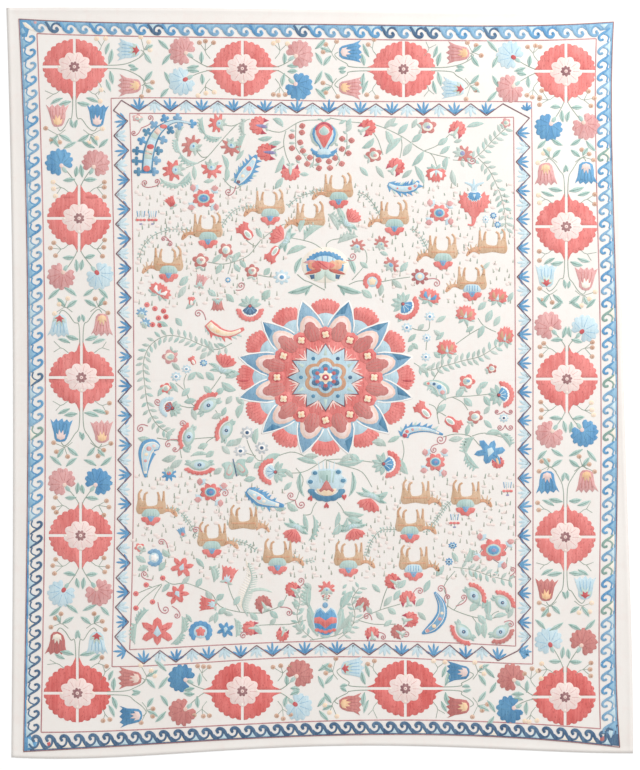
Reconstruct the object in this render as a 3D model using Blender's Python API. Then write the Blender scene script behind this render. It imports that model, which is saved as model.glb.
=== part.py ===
"""Suzani: a large cotton cover embroidered all over with silk, laid out flat.

The ground cloth is one closed sheet with a turned hem and shallow fold creases. The bands, rules,
rosettes, medallion and palmettes are laid and couched silk: low raised patches just above the cloth.

Frame: the origin is on the surface under the middle of the cloth, +X runs to the design's right,
+Y to its top edge and +Z up. Sizes are in millimetres and become metres when a mesh is made.
"""
import math
from collections import namedtuple

import bmesh
import bpy
from mathutils import Vector

MM = 0.001

# Cloth
CLOTH_THICKNESS = 1.8
HEM_WIDTH = 11.0
HEM_THICKNESS = 2.6
HEM_EDGE_THICKNESS = 1.4
HEM_STEP = 3.0
COLUMNS_ACROSS = 12
ROWS_ALONG = 14

# Silk
STITCH_GAP = 0.3
STITCH_HEIGHT = 0.9
RULE_WIDTH = 3.6
RULE_STEPS = 10

# Wave band: how far in the hooks leave its solid edge, as a share of the way to the rule inside
WAVE_ROOT = 0.16

# Zigzag band
ZIGZAG_WIDTH = 4.2
ZIGZAG_CLEARANCE = 7.5

# Rosettes
ROSETTE_SCALLOPS = 7
ROSETTE_VALLEY = 0.94
ROSETTE_CREST = 0.99
ROSETTE_CROSS = 9.0
ROSETTE_EYE = 0.47

# Medallion. Places on it are a share of its radius and an angle from its middle.
MEDALLION_CENTRE = (19.8, 17.5)
MEDALLION_WIDTH = 606.0
MEDALLION_HEIGHT = 534.0
MEDALLION_FOLDS = 12
FAN_SIDE = ((0.61, 2.6), (0.72, 4.3), (0.80, 6.8), (0.91, 10.0))
FAN_SCALLOPS = 7
FAN_SHOULDER = 0.925
FAN_CROWN = 0.062
FAN_SCALLOP_RISE = 0.02
PETAL_SIDE = ((0.90, 3.9), (0.80, 7.5), (0.73, 9.8), (0.66, 11.0), (0.61, 11.3), (0.61, 4.5))
PETAL_TIP = 1.0
RING_OUTER = 0.57
RING_LOBE = 0.028
RING_STEPS_PER_FOLD = 4
STAR_TIP = 0.425
STAR_VALLEY = 0.300
STAR_CLEARANCE = 0.012
STAR_INNER = 0.19
HEART_RADIUS = 0.165
HEART_LOBE = 0.015
HEART_LOBES = 6
HEART_STEPS = 24

# A bowed frame: its corners, and how far each side stands in from the straight line between them
# at a quarter, a half and three quarters of its length. Sides run clockwise from the top left.
Frame = namedtuple("Frame", "top_left top_right bottom_right bottom_left top right bottom left")
CLOTH_EDGE = Frame((-1065, 1274), (1038, 1274), (1065, -1260), (-1048, -1274),
                   (0, 6, 11), (19, 18, 5), (21, 31, 7), (9, 14, 12))
WAVE_EDGE = Frame((-1023, 1236), (999, 1226), (1020, -1240), (-1007, -1255),
                  (12, 13, 16), (6, -3, 7), (43, 47, 26), (14, 23, 20))
BORDER_RULE = Frame((-961, 1186), (940, 1169), (954, -1177), (-947, -1189),
                    (7, 9, 11), (0, -9, -2), (30, 32, 13), (14, 21, 16))
FIELD_RULE_OUTER = Frame((-709, 966), (720, 954), (724, -957), (-706, -966),
                         (-2, 3, 2), (-3, -3, -2), (19, 29, 15), (10, 14, 8))
FIELD_RULE_INNER = Frame((-646, 915), (659, 902), (666, -896), (-646, -908),
                         (-1, 1, 4), (-2, -3, -2), (18, 23, 14), (12, 14, 11))
INWARD = (Vector((0, -1)), Vector((-1, 0)), Vector((0, 1)), Vector((1, 0)))
TOP, RIGHT, BOTTOM, LEFT = range(4)

# Fold creases: straight shallow troughs, with their ends as fractions of the cloth's width
Crease = namedtuple("Crease", "from_left to_left y depth half_width")
CREASES = (
    Crease(0.00, 1.00, 3.0, 0.5, 9.0),
    Crease(0.00, 0.09, -255.0, 0.35, 8.0),
    Crease(0.90, 1.00, -628.0, 0.35, 8.0),
)

# Hooks on each side of the wave band: how many, and the first and last root from the corners
WaveRow = namedtuple("WaveRow", "side count first last")
WAVE_ROWS = (
    WaveRow(TOP, 39, 41, 96),
    WaveRow(RIGHT, 52, 65, 91),
    WaveRow(BOTTOM, 39, 74, 119),
    WaveRow(LEFT, 52, 49, 102),
)
# One hook, from the next root back to its own: along its pitch and in towards the rule
HOOK = ((0.90, 0.34), (0.58, 0.30), (0.57, 0.60), (0.78, 0.50), (0.90, 0.68), (0.66, 0.90),
        (0.34, 0.80), (0.08, 0.38))

# Tips of the zigzag on each side of the field: first and last place along the side, how many,
# and whether they touch the inner rule. The tips between them touch the other rule.
TipRow = namedtuple("TipRow", "side first last count on_inner")
TIP_ROWS = (
    TipRow(TOP, -615, 567, 12, True),
    TipRow(RIGHT, 848, -912, 19, True),
    TipRow(BOTTOM, 606, -598, 12, False),
    TipRow(LEFT, -914, 889, 19, True),
)
# Tips on the outer rule that cut the two upper corners: the row they follow, their side and place
CORNER_TIPS = {TOP: ((TOP, 623), (RIGHT, 899)), LEFT: ((LEFT, 925), (TOP, -674))}

# Stems leave a rosette along the level or the upright arms of its cross, where the silk is drawn
# out in points: left and right, or up and down
Rosette = namedtuple("Rosette", "name x y width height level_points upright_points")
ROSETTES = (
    Rosette("rosette_top_1", -834, 1073, 216, 190, (0, 8), (0, 22)),
    Rosette("rosette_top_2", -263, 1067, 206, 190, (20, 22), (0, 0)),
    Rosette("rosette_top_3", 285, 1065, 216, 190, (22, 2), (0, 0)),
    Rosette("rosette_top_4", 836, 1058, 200, 188, (6, 0), (0, 14)),
    Rosette("rosette_left_1", -818, 558, 218, 190, (0, 0), (20, 20)),
    Rosette("rosette_left_2", -810, 17, 222, 186, (0, 0), (32, 26)),
    Rosette("rosette_left_3", -813, -520, 216, 190, (0, 0), (18, 20)),
    Rosette("rosette_right_1", 837, 530, 206, 190, (0, 0), (22, 22)),
    Rosette("rosette_right_2", 840, 12, 210, 190, (0, 0), (20, 22)),
    Rosette("rosette_right_3", 835, -525, 206, 190, (0, 0), (24, 24)),
    Rosette("rosette_bottom_1", -824, -1056, 228, 198, (0, 4), (26, 0)),
    Rosette("rosette_bottom_2", -263, -1049, 220, 196, (24, 24), (0, 0)),
    Rosette("rosette_bottom_3", 291, -1040, 220, 192, (24, 24), (0, 0)),
    Rosette("rosette_bottom_4", 834, -1069, 208, 190, (10, 0), (8, 0)),
)

# Palmettes on the field's middle line. Each is one half of its outline from its top down to its
# foot, in its own half widths and half heights.
Palmette = namedtuple("Palmette", "name x y width height silk half")
PALMETTES = (
    Palmette("palmette_top", 15, 821, 84, 116, "blue",
             ((0, 1), (0.55, 0.93), (0.90, 0.70), (1, 0.40), (0.86, 0.05), (0.46, -0.22),
              (0.36, -0.40), (0.98, -0.44), (0.90, -0.70), (0.66, -0.74), (0.54, -0.92),
              (0.26, -0.88), (0, -1))),
    Palmette("palmette_upper", 18, 400, 142, 104, "blue",
             ((0, 0.94), (0.15, 1), (0.30, 0.94), (0.45, 0.96), (0.56, 0.80), (0.70, 0.74),
              (0.78, 0.52), (0.92, 0.42), (1, 0.10), (0.84, -0.06), (0.86, -0.38), (1, -0.62),
              (0.70, -0.70), (0.68, -0.90), (0.42, -0.98), (0, -0.60))),
    Palmette("palmette_lower", 23, -352, 126, 114, "light_blue",
             ((0, 0.80), (0.30, 0.92), (0.50, 0.98), (0.70, 0.72), (0.94, 0.42), (0.98, 0.10),
              (0.86, -0.12), (1, -0.40), (0.84, -0.52), (0.76, -0.74), (0.52, -0.78),
              (0.42, -0.94), (0.18, -0.92), (0, -1))),
    Palmette("palmette_bottom", 19, -814, 78, 92, "blue",
             ((0, 0.62), (0.42, 1), (0.72, 0.86), (0.95, 0.42), (1, 0), (0.90, -0.45),
              (0.60, -0.80), (0.22, -1))),
)

# The large crescent in the field's upper left corner: the line along its middle from its foot,
# how far its body and its leaves stand out from that line at both ends, and its leaves
CRESCENT_SPINE = ((-587, 722), (-584, 760), (-580, 787), (-571, 815), (-557, 845), (-540, 864),
                  (-513, 881), (-487, 887), (-455, 886))
CRESCENT_BODY = (17, 5)
Leaves = namedtuple("Leaves", "side count span reach")
CRESCENT_LEAVES = (Leaves(1, 8, 1.0, (45, 18)), Leaves(-1, 6, 0.84, (42, 27)))
LEAF_START, LEAF_END = 0.2, 0.8

Silk = namedtuple("Silk", "colour roughness")
SILKS = {
    "ground": Silk((0.90, 0.86, 0.80), 0.9),
    "red": Silk((0.76, 0.20, 0.18), 0.6),
    "rose": Silk((0.60, 0.28, 0.27), 0.6),
    "blue": Silk((0.10, 0.26, 0.44), 0.6),
    "light_blue": Silk((0.42, 0.66, 0.76), 0.6),
    "plum": Silk((0.26, 0.13, 0.14), 0.6),
}


def clear_scene():
    for old in list(bpy.data.objects):
        bpy.data.objects.remove(old, do_unlink=True)


def silk_material(name):
    if name in bpy.data.materials:
        return bpy.data.materials[name]
    silk = SILKS[name]
    material = bpy.data.materials.new(name)
    material.use_nodes = True
    shader = material.node_tree.nodes["Principled BSDF"]
    shader.inputs["Base Color"].default_value = (*silk.colour, 1.0)
    shader.inputs["Roughness"].default_value = silk.roughness
    return material


def add_object(name, bm, silk):
    """Turn a bmesh in millimetres into a named object in metres."""
    bmesh.ops.recalc_face_normals(bm, faces=bm.faces)
    bmesh.ops.scale(bm, vec=(MM, MM, MM), verts=bm.verts)
    mesh = bpy.data.meshes.new(name)
    bm.to_mesh(mesh)
    bm.free()
    mesh.materials.append(silk_material(silk))
    piece = bpy.data.objects.new(name, mesh)
    bpy.context.collection.objects.link(piece)
    return piece


# Frames


def frame_ends(frame, side):
    """The corners at the start and the end of one side."""
    return Vector(frame[side]), Vector(frame[(side + 1) % 4])


def side_length(frame, side):
    start, end = frame_ends(frame, side)
    return (end - start).length


def bow_at(bows, t):
    """The smooth curve that is 0 at both ends and passes through the three bows between them."""
    knots = (0.0, 0.25, 0.5, 0.75, 1.0)
    total = 0.0
    for knot, bow in zip(knots, (0.0, *bows, 0.0)):
        weight = 1.0
        for other in knots:
            if other != knot:
                weight *= (t - other) / (knot - other)
        total += bow * weight
    return total


def frame_point(frame, side, t, depth=0.0):
    """A point at t along one side of a frame, moved inward by depth."""
    start, end = frame_ends(frame, side)
    bows = frame[4 + side]
    return start.lerp(end, t) + INWARD[side] * (bow_at(bows, t) + depth)


def frame_loop(frame, depth):
    """A closed loop of points all round a frame, moved inward by depth."""
    loop = []
    for side in range(4):
        trim = depth / side_length(frame, side)
        for step in range(RULE_STEPS):
            t = trim + (1 - 2 * trim) * step / RULE_STEPS
            loop.append(frame_point(frame, side, t, depth))
    return loop


# Raised silk


def raise_patch(bm, faces):
    """Lift flat faces to the cloth's surface and give them the thickness of the stitching."""
    bmesh.ops.translate(bm, verts=bm.verts, vec=(0, 0, CLOTH_THICKNESS + STITCH_GAP))
    risen = bmesh.ops.extrude_face_region(bm, geom=faces, use_keep_orig=True)
    top = [item for item in risen["geom"] if isinstance(item, bmesh.types.BMVert)]
    bmesh.ops.translate(bm, verts=top, vec=(0, 0, STITCH_HEIGHT))


def patch_object(name, outline, silk):
    """One raised patch with the given outline."""
    bm = bmesh.new()
    face = bm.faces.new([bm.verts.new((*point, 0)) for point in outline])
    raise_patch(bm, [face])
    return add_object(name, bm, silk)


def ring_object(name, outer, inner, silk):
    """A raised band between two closed loops of equally many points."""
    bm = bmesh.new()
    outer_verts = [bm.verts.new((*point, 0)) for point in outer]
    inner_verts = [bm.verts.new((*point, 0)) for point in inner]
    faces = []
    for i in range(len(outer)):
        j = (i + 1) % len(outer)
        faces.append(bm.faces.new((outer_verts[i], outer_verts[j], inner_verts[j], inner_verts[i])))
    raise_patch(bm, faces)
    return add_object(name, bm, silk)


def rule_object(name, frame, silk):
    """A couched line of even width that follows a frame."""
    outer = frame_loop(frame, -RULE_WIDTH / 2)
    inner = frame_loop(frame, RULE_WIDTH / 2)
    return ring_object(name, outer, inner, silk)


# The ground cloth


def stations(length, count):
    """Places across the cloth, as fractions, with a close pair at each edge for the hem."""
    hem = HEM_WIDTH / length
    step = (HEM_WIDTH + HEM_STEP) / length
    middle = [step + (1 - 2 * step) * i / count for i in range(count + 1)]
    return [0.0, hem, *middle, 1 - hem, 1.0]


def crease_rows(length):
    """Rows at the edges and the bottom of every trough, as fractions from the bottom edge."""
    rows = []
    for crease in CREASES:
        for offset in (-crease.half_width, 0.0, crease.half_width):
            rows.append((crease.y + offset) / length + 0.5)
    return rows


def cloth_place(u, v):
    """The cloth's plan: its four bowed edges blended across the middle."""
    top = frame_point(CLOTH_EDGE, TOP, u)
    right = frame_point(CLOTH_EDGE, RIGHT, 1 - v)
    bottom = frame_point(CLOTH_EDGE, BOTTOM, 1 - u)
    left = frame_point(CLOTH_EDGE, LEFT, v)
    top_left, top_right = frame_ends(CLOTH_EDGE, TOP)
    bottom_right, bottom_left = frame_ends(CLOTH_EDGE, BOTTOM)
    straight = bottom_left.lerp(bottom_right, u).lerp(top_left.lerp(top_right, u), v)
    return left.lerp(right, u) + bottom.lerp(top, v) - straight


def cloth_height(u, v, y):
    """Thickness: the turned hem at the edge, then the plain cloth with its troughs."""
    length = side_length(CLOTH_EDGE, LEFT)
    width = side_length(CLOTH_EDGE, BOTTOM)
    to_edge = min(u * width, (1 - u) * width, v * length, (1 - v) * length)
    if to_edge < HEM_WIDTH / 2:
        return HEM_EDGE_THICKNESS
    if to_edge < HEM_WIDTH + HEM_STEP / 2:
        return HEM_THICKNESS
    height = CLOTH_THICKNESS
    for crease in CREASES:
        if crease.from_left <= u <= crease.to_left:
            away = abs(y - crease.y) / crease.half_width
            height -= crease.depth * max(0.0, 1 - away)
    return height


def ground_cloth():
    """A grid with the rows and columns of the hem and the troughs, raised to the cloth's height."""
    length = side_length(CLOTH_EDGE, LEFT)
    across = stations(side_length(CLOTH_EDGE, BOTTOM), COLUMNS_ACROSS)
    along = sorted(stations(length, ROWS_ALONG) + crease_rows(length))
    columns, rows = len(across) - 1, len(along) - 1
    bm = bmesh.new()
    bmesh.ops.create_grid(bm, x_segments=columns, y_segments=rows, size=0.5)
    risen = bmesh.ops.extrude_face_region(bm, geom=list(bm.faces), use_keep_orig=True)
    top = {item for item in risen["geom"] if isinstance(item, bmesh.types.BMVert)}
    for vert in bm.verts:
        u = across[round((vert.co.x + 0.5) * columns)]
        v = along[round((vert.co.y + 0.5) * rows)]
        level_y = (v - 0.5) * length
        height = cloth_height(u, v, level_y) if vert in top else 0.0
        vert.co = (*cloth_place(u, v), height)
    return add_object("ground_cloth", bm, "ground")


# The wave band


def corner_point(side, share):
    """A point part of the way from the wave band's corner to the corner of the rule inside it."""
    return Vector(WAVE_EDGE[side]).lerp(Vector(BORDER_RULE[side]), share)


def band_point(side, t, share):
    """A point part of the way straight in from the wave band's outer edge to the rule."""
    edge = frame_point(WAVE_EDGE, side, t)
    axis = 0 if side in (TOP, BOTTOM) else 1
    start, end = frame_ends(BORDER_RULE, side)
    across = min(max((edge[axis] - start[axis]) / (end[axis] - start[axis]), 0.0), 1.0)
    depth = (frame_point(BORDER_RULE, side, across) - edge).dot(INWARD[side])
    return frame_point(WAVE_EDGE, side, t, share * depth)


def wave_band():
    """A solid outer edge from which a row of curling hooks hangs inward on all four sides."""
    outer, roots, hooks = [], [], []
    for row in WAVE_ROWS:
        outer.append(corner_point(row.side, 0.0))
        roots.append(corner_point(row.side, WAVE_ROOT))
        hooks.append([])
        length = side_length(WAVE_EDGE, row.side)
        pitch = (length - row.first - row.last) / (row.count - 1) / length
        for wave in range(row.count + 1):
            t = row.first / length + wave * pitch
            outer.append(band_point(row.side, t, 0.0))
            roots.append(band_point(row.side, t, WAVE_ROOT))
            hook = [band_point(row.side, t + along * pitch, share) for along, share in HOOK]
            hooks.append(hook if wave < row.count else [])
    bm = bmesh.new()
    outer = [bm.verts.new((*point, 0)) for point in outer]
    roots = [bm.verts.new((*point, 0)) for point in roots]
    faces = []
    for i, hook in enumerate(hooks):
        j = (i + 1) % len(hooks)
        curl = [bm.verts.new((*point, 0)) for point in hook]
        faces.append(bm.faces.new((outer[i], outer[j], roots[j], *curl, roots[i])))
    raise_patch(bm, faces)
    return add_object("wave_band", bm, "blue")


# The zigzag band


def tip_point(side, place, on_inner):
    """The point at a given x or y by one of the field's rules, clear of the rule's thread."""
    frame = FIELD_RULE_INNER if on_inner else FIELD_RULE_OUTER
    axis = 0 if side in (TOP, BOTTOM) else 1
    start, end = frame_ends(frame, side)
    t = (place - start[axis]) / (end[axis] - start[axis])
    depth = -ZIGZAG_CLEARANCE if on_inner else ZIGZAG_CLEARANCE
    return frame_point(frame, side, t, depth)


def zigzag_path():
    """The zigzag's corners in order round the field."""
    path = []
    for row in TIP_ROWS:
        step = (row.last - row.first) / (row.count - 1)
        for tip in range(row.count):
            place = row.first + tip * step
            path.append(tip_point(row.side, place, row.on_inner))
            if tip < row.count - 1:
                path.append(tip_point(row.side, place + step / 2, not row.on_inner))
        for side, place in CORNER_TIPS.get(row.side, ()):
            path.append(tip_point(side, place, False))
    return path


def mitred(path, offset):
    """A closed path moved sideways by offset, with its corners mitred."""
    moved = []
    for i, here in enumerate(path):
        before = (here - path[i - 1]).normalized()
        after = (path[(i + 1) % len(path)] - here).normalized()
        normal = Vector((-before.y - after.y, before.x + after.x)).normalized()
        reach = offset / normal.dot(Vector((-before.y, before.x)))
        moved.append(here + normal * reach)
    return moved


def zigzag_line():
    path = zigzag_path()
    half = ZIGZAG_WIDTH / 2
    return ring_object("zigzag_line", mitred(path, half), mitred(path, -half), "plum")


# Rosettes


def rosette_quadrant(half_width, half_height, level_point, upright_point):
    """One quadrant of the outline: in along the cross, out to the scalloped rim and back."""
    cross = ROSETTE_CROSS / 2
    points = [(ROSETTE_EYE * half_width, cross), (half_width + level_point, cross)]
    steps = 2 * ROSETTE_SCALLOPS
    for step in range(1, steps):
        angle = math.radians(90 * step / steps)
        share = ROSETTE_CREST if step % 2 else ROSETTE_VALLEY
        points.append((half_width * share * math.cos(angle), half_height * share * math.sin(angle)))
    points += [(cross, half_height + upright_point), (cross, ROSETTE_EYE * half_height)]
    return points


def rosette_outline(rosette):
    left, right = rosette.level_points
    up, down = rosette.upright_points
    outline = []
    for flip_x, flip_y, level, upright in ((1, 1, right, up), (-1, 1, left, up),
                                           (-1, -1, left, down), (1, -1, right, down)):
        run = rosette_quadrant(rosette.width / 2, rosette.height / 2, level, upright)
        if flip_x != flip_y:
            run.reverse()
        outline += [(rosette.x + flip_x * x, rosette.y + flip_y * y) for x, y in run]
    return outline


# Medallion


def medallion_point(share, degrees):
    angle = math.radians(degrees)
    x = MEDALLION_CENTRE[0] + MEDALLION_WIDTH / 2 * share * math.cos(angle)
    y = MEDALLION_CENTRE[1] + MEDALLION_HEIGHT / 2 * share * math.sin(angle)
    return x, y


def fan_outline(middle):
    """A scalloped fan: narrow at its foot and broad at the medallion's rim."""
    rim_half = FAN_SIDE[-1][1]
    side = [medallion_point(share, middle - spread) for share, spread in FAN_SIDE]
    rim = []
    for step in range(1, 2 * FAN_SCALLOPS):
        across = step / FAN_SCALLOPS - 1
        share = FAN_SHOULDER + FAN_CROWN * math.cos(math.pi / 2 * across)
        share += FAN_SCALLOP_RISE * (step % 2)
        rim.append(medallion_point(share, middle + rim_half * across))
    other = [medallion_point(share, middle + spread) for share, spread in reversed(FAN_SIDE)]
    return side + rim + other


def petal_outline(middle):
    """A pointed petal with concave sides, between two fans."""
    side = [medallion_point(share, middle - spread) for share, spread in reversed(PETAL_SIDE)]
    other = [medallion_point(share, middle + spread) for share, spread in PETAL_SIDE]
    return side + [medallion_point(PETAL_TIP, middle)] + other


def star_corner(point, clearance=0.0):
    """One of the star's tips (even) or valleys (odd)."""
    share = STAR_VALLEY if point % 2 else STAR_TIP
    return Vector(medallion_point(share + clearance, 180 * point / MEDALLION_FOLDS))


def medallion_ring():
    """The ring of joined discs round the star."""
    steps = MEDALLION_FOLDS * RING_STEPS_PER_FOLD
    outer, inner = [], []
    for step in range(steps):
        degrees = 360 * step / steps
        lobe = RING_LOBE * math.cos(math.radians(MEDALLION_FOLDS * degrees))
        outer.append(medallion_point(RING_OUTER + lobe, degrees))
        point, between = divmod(step, RING_STEPS_PER_FOLD // 2)
        corner = star_corner(point, STAR_CLEARANCE)
        following = star_corner(point + 1, STAR_CLEARANCE)
        inner.append(corner.lerp(following, 2 * between / RING_STEPS_PER_FOLD))
    return ring_object("medallion_ring", outer, inner, "red")


def medallion_star():
    outer, inner = [], []
    for point in range(2 * MEDALLION_FOLDS):
        outer.append(star_corner(point))
        inner.append(medallion_point(STAR_INNER, 180 * point / MEDALLION_FOLDS))
    return ring_object("medallion_star", outer, inner, "light_blue")


def medallion_heart():
    outline = []
    for step in range(HEART_STEPS):
        degrees = 360 * step / HEART_STEPS
        lobe = HEART_LOBE * math.cos(math.radians(HEART_LOBES * degrees))
        outline.append(medallion_point(HEART_RADIUS + lobe, degrees))
    return patch_object("medallion_heart", outline, "blue")


def medallion():
    fold = 360 / MEDALLION_FOLDS
    for index in range(MEDALLION_FOLDS):
        middle = index * fold
        patch_object(f"medallion_fan_{index + 1:02d}", fan_outline(middle), "red")
        patch_object(f"medallion_petal_{index + 1:02d}", petal_outline(middle + fold / 2), "blue")
    medallion_ring()
    medallion_star()
    medallion_heart()


# Field flowers


def palmette_outline(palmette):
    """Both halves of a palmette."""
    half = palmette.half
    first = 1 if half[0][0] == 0 else 0
    last = len(half) - 1 if half[-1][0] == 0 else len(half)
    outline = [*half, *((-x, y) for x, y in reversed(half[first:last]))]
    return [(palmette.x + x * palmette.width / 2, palmette.y + y * palmette.height / 2)
            for x, y in outline]


def spine_point(t, side, reach):
    """A point beside the crescent's middle line at t, as far out as reach gives for t."""
    place = t * (len(CRESCENT_SPINE) - 1)
    index = min(int(place), len(CRESCENT_SPINE) - 2)
    start, end = Vector(CRESCENT_SPINE[index]), Vector(CRESCENT_SPINE[index + 1])
    outward = Vector((start.y - end.y, end.x - start.x)).normalized()
    return start.lerp(end, place - index) + outward * side * (reach[0] + (reach[1] - reach[0]) * t)


def crescent_outline():
    """A bowed body with broad leaves along both sides."""
    sides = []
    for leaves in CRESCENT_LEAVES:
        points = []
        for leaf in range(leaves.count):
            start = leaves.span * leaf / leaves.count
            step = leaves.span / leaves.count
            points.append(spine_point(start, leaves.side, CRESCENT_BODY))
            points.append(spine_point(start + LEAF_START * step, leaves.side, leaves.reach))
            points.append(spine_point(start + LEAF_END * step, leaves.side, leaves.reach))
        points.append(spine_point(leaves.span, leaves.side, CRESCENT_BODY))
        sides.append(points)
    return sides[0] + sides[1][::-1]


clear_scene()
ground_cloth()
wave_band()
rule_object("border_rule", BORDER_RULE, "rose")
rule_object("field_rule_outer", FIELD_RULE_OUTER, "rose")
rule_object("field_rule_inner", FIELD_RULE_INNER, "rose")
zigzag_line()
for rosette in ROSETTES:
    patch_object(rosette.name, rosette_outline(rosette), "red")
medallion()
for palmette in PALMETTES:
    patch_object(palmette.name, palmette_outline(palmette), palmette.silk)
patch_object("crescent", crescent_outline(), "blue")
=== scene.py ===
"""Suzani: a large cotton cover embroidered all over with laid silk, lying flat on a pale floor.

Sizes are in millimetres. Flowers and stems are set out on the maker's pattern chart, whose steps
are counted across from its left edge and down from its top edge.
"""
import math
import random
from collections import namedtuple

import bmesh
import bpy
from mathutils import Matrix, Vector, noise


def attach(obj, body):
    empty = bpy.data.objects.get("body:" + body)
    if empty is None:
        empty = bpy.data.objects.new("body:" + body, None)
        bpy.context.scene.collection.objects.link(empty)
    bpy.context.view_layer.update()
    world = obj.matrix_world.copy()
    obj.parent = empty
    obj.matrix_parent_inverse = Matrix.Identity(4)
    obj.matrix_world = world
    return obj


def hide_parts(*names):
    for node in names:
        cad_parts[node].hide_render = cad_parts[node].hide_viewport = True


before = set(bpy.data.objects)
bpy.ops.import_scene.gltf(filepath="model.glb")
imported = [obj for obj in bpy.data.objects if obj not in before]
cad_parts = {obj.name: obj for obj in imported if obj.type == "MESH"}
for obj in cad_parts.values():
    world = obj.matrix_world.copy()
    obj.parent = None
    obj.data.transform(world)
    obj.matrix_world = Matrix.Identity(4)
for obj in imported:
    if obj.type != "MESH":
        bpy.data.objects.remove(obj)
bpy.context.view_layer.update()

MM = 0.001
CHART_STEP = 3.4
CHART_MIDDLE = (319.75, 382.5)
SCALLOP_TOP = 0.87

# Cloth
CLOTH_THICKNESS = 1.8
HEM_WIDTH = 11.0
HEM_THICKNESS = 2.6
HEM_EDGE_THICKNESS = 1.4
HEM_STEP = 3.0
CLOTH_STEP = 14.0

# Stitching: how deep a patch sits in the cloth, how high it stands, and what each layer adds
STITCH_ROOT = 0.2
STITCH_RIM = 0.5
STITCH_CROWN = 0.3
STITCH_SHOULDER = 0.5
LAYER_RISE = 0.35

# Surfaces. A finish is its roughness, the strength of its relief and its sheen.
SILK_FINISH = (0.62, 0.5, 0.1)
COTTON_FINISH = (0.85, 0.35, 0.15)
COUCHING_SHADE = (0.62, 0.62, 0.62, 1.0)
RELIEF_DEPTH = 0.4
SPECULAR_LEVEL = 0.25
COTTON_DYES = {"Cloth": (242, 237, 232), "Worn": (237, 230, 224), "Blush": (241, 227, 221)}

# A bowed frame: its corners, and how far each side stands in from the straight line between them
# at a quarter, a half and three quarters of its length. Sides run clockwise from the top left.
Frame = namedtuple("Frame", "top_left top_right bottom_right bottom_left top right bottom left")
CLOTH_EDGE = Frame((-1065, 1274), (1038, 1274), (1065, -1260), (-1048, -1274),
                   (0, 6, 11), (19, 18, 5), (21, 31, 7), (9, 14, 12))
WAVE_EDGE = Frame((-1023, 1236), (999, 1226), (1020, -1240), (-1007, -1255),
                  (12, 13, 16), (6, -3, 7), (43, 47, 26), (14, 23, 20))
BORDER_RULE = Frame((-961, 1186), (940, 1169), (954, -1177), (-947, -1189),
                    (7, 9, 11), (0, -9, -2), (30, 32, 13), (14, 21, 16))
FIELD_RULE_OUTER = Frame((-709, 966), (720, 954), (724, -957), (-706, -966),
                         (-2, 3, 2), (-3, -3, -2), (19, 29, 15), (10, 14, 8))
FIELD_RULE_INNER = Frame((-646, 915), (659, 902), (666, -896), (-646, -908),
                         (-1, 1, 4), (-2, -3, -2), (18, 23, 14), (12, 14, 11))
INWARD = (Vector((0, -1)), Vector((-1, 0)), Vector((0, 1)), Vector((1, 0)))
TOP, RIGHT, BOTTOM, LEFT = range(4)
RULE_STEPS = 24

# Fold creases: soft troughs across the cloth, between two shares of its width
Crease = namedtuple("Crease", "from_left to_left y depth half_width")
CREASES = (
    Crease(0.00, 1.00, 3, 0.50, 9),
    Crease(0.00, 0.09, -255, 0.35, 8),
    Crease(0.90, 1.00, -628, 0.35, 8),
    Crease(0.00, 0.05, -136, 0.22, 7),
    Crease(0.00, 0.05, -695, 0.20, 8),
    Crease(0.93, 1.00, -1126, 0.25, 8),
    Crease(0.20, 0.80, 276, 0.15, 10),
)
# Upright creases: soft troughs between two heights
Upright = namedtuple("Upright", "x low high depth half_width")
UPRIGHTS = (
    Upright(-67, 1180, 1270, 0.30, 8),
    Upright(-482, -1270, -1190, 0.30, 8),
    Upright(-179, -1270, -1190, 0.25, 7),
    Upright(18, -1270, -1190, 0.30, 8),
)

# Puckers all over and ripples that grow in a zone along the edge: how large they are across and
# along, their seed and how high they stand. The long creases sway a little.
Pucker = namedtuple("Pucker", "across along seed height")
BROAD_PUCKER = Pucker(210, 260, 3.1, 0.22)
FINE_PUCKER = Pucker(52, 75, 8.7, 0.10)
EDGE_RIPPLE_HEIGHT = 0.35
EDGE_ZONE_START, EDGE_ZONE_WIDTH = 0.93, 0.07
HALF_WIDTH, HALF_LENGTH = 1065, 1274
CREASE_SWAY, CREASE_SWAY_LENGTH = 3, 170


# Places and curves


def chart(across, down):
    """A place on the cloth from the pattern chart's steps."""
    return Vector((across - CHART_MIDDLE[0], CHART_MIDDLE[1] - down)) * CHART_STEP


def chart_run(places):
    """A run of places from the pattern chart."""
    return [chart(*place) for place in places]


def frame_ends(border, side):
    return Vector(border[side]), Vector(border[(side + 1) % 4])


def side_length(border, side):
    start, end = frame_ends(border, side)
    return (end - start).length


def bow_at(bows, t):
    """The smooth curve that is 0 at both ends and passes through the three bows between them."""
    knots = (0.0, 0.25, 0.5, 0.75, 1.0)
    total = 0.0
    for knot, bow in zip(knots, (0.0, *bows, 0.0)):
        weight = 1.0
        for other in knots:
            if other != knot:
                weight *= (t - other) / (knot - other)
        total += bow * weight
    return total


def frame_point(border, side, t, depth=0.0):
    """A point at t along one side of a frame, moved inward by depth."""
    start, end = frame_ends(border, side)
    return start.lerp(end, t) + INWARD[side] * (bow_at(border[4 + side], t) + depth)


def heading(degrees):
    """The way that a clockwise turn from straight up points."""
    return Vector((math.sin(math.radians(degrees)), math.cos(math.radians(degrees))))


def left_of(way):
    return Vector((-way.y, way.x))


def right_of(way):
    return Vector((way.y, -way.x))


def bowed(foot, tip, bow, shares):
    """Places at some shares of the way from foot to tip, on a line that bows to its left."""
    run = tip - foot
    aside = left_of(run).normalized()
    return [foot + run * t + aside * bow * 4 * t * (1 - t) for t in shares]


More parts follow.
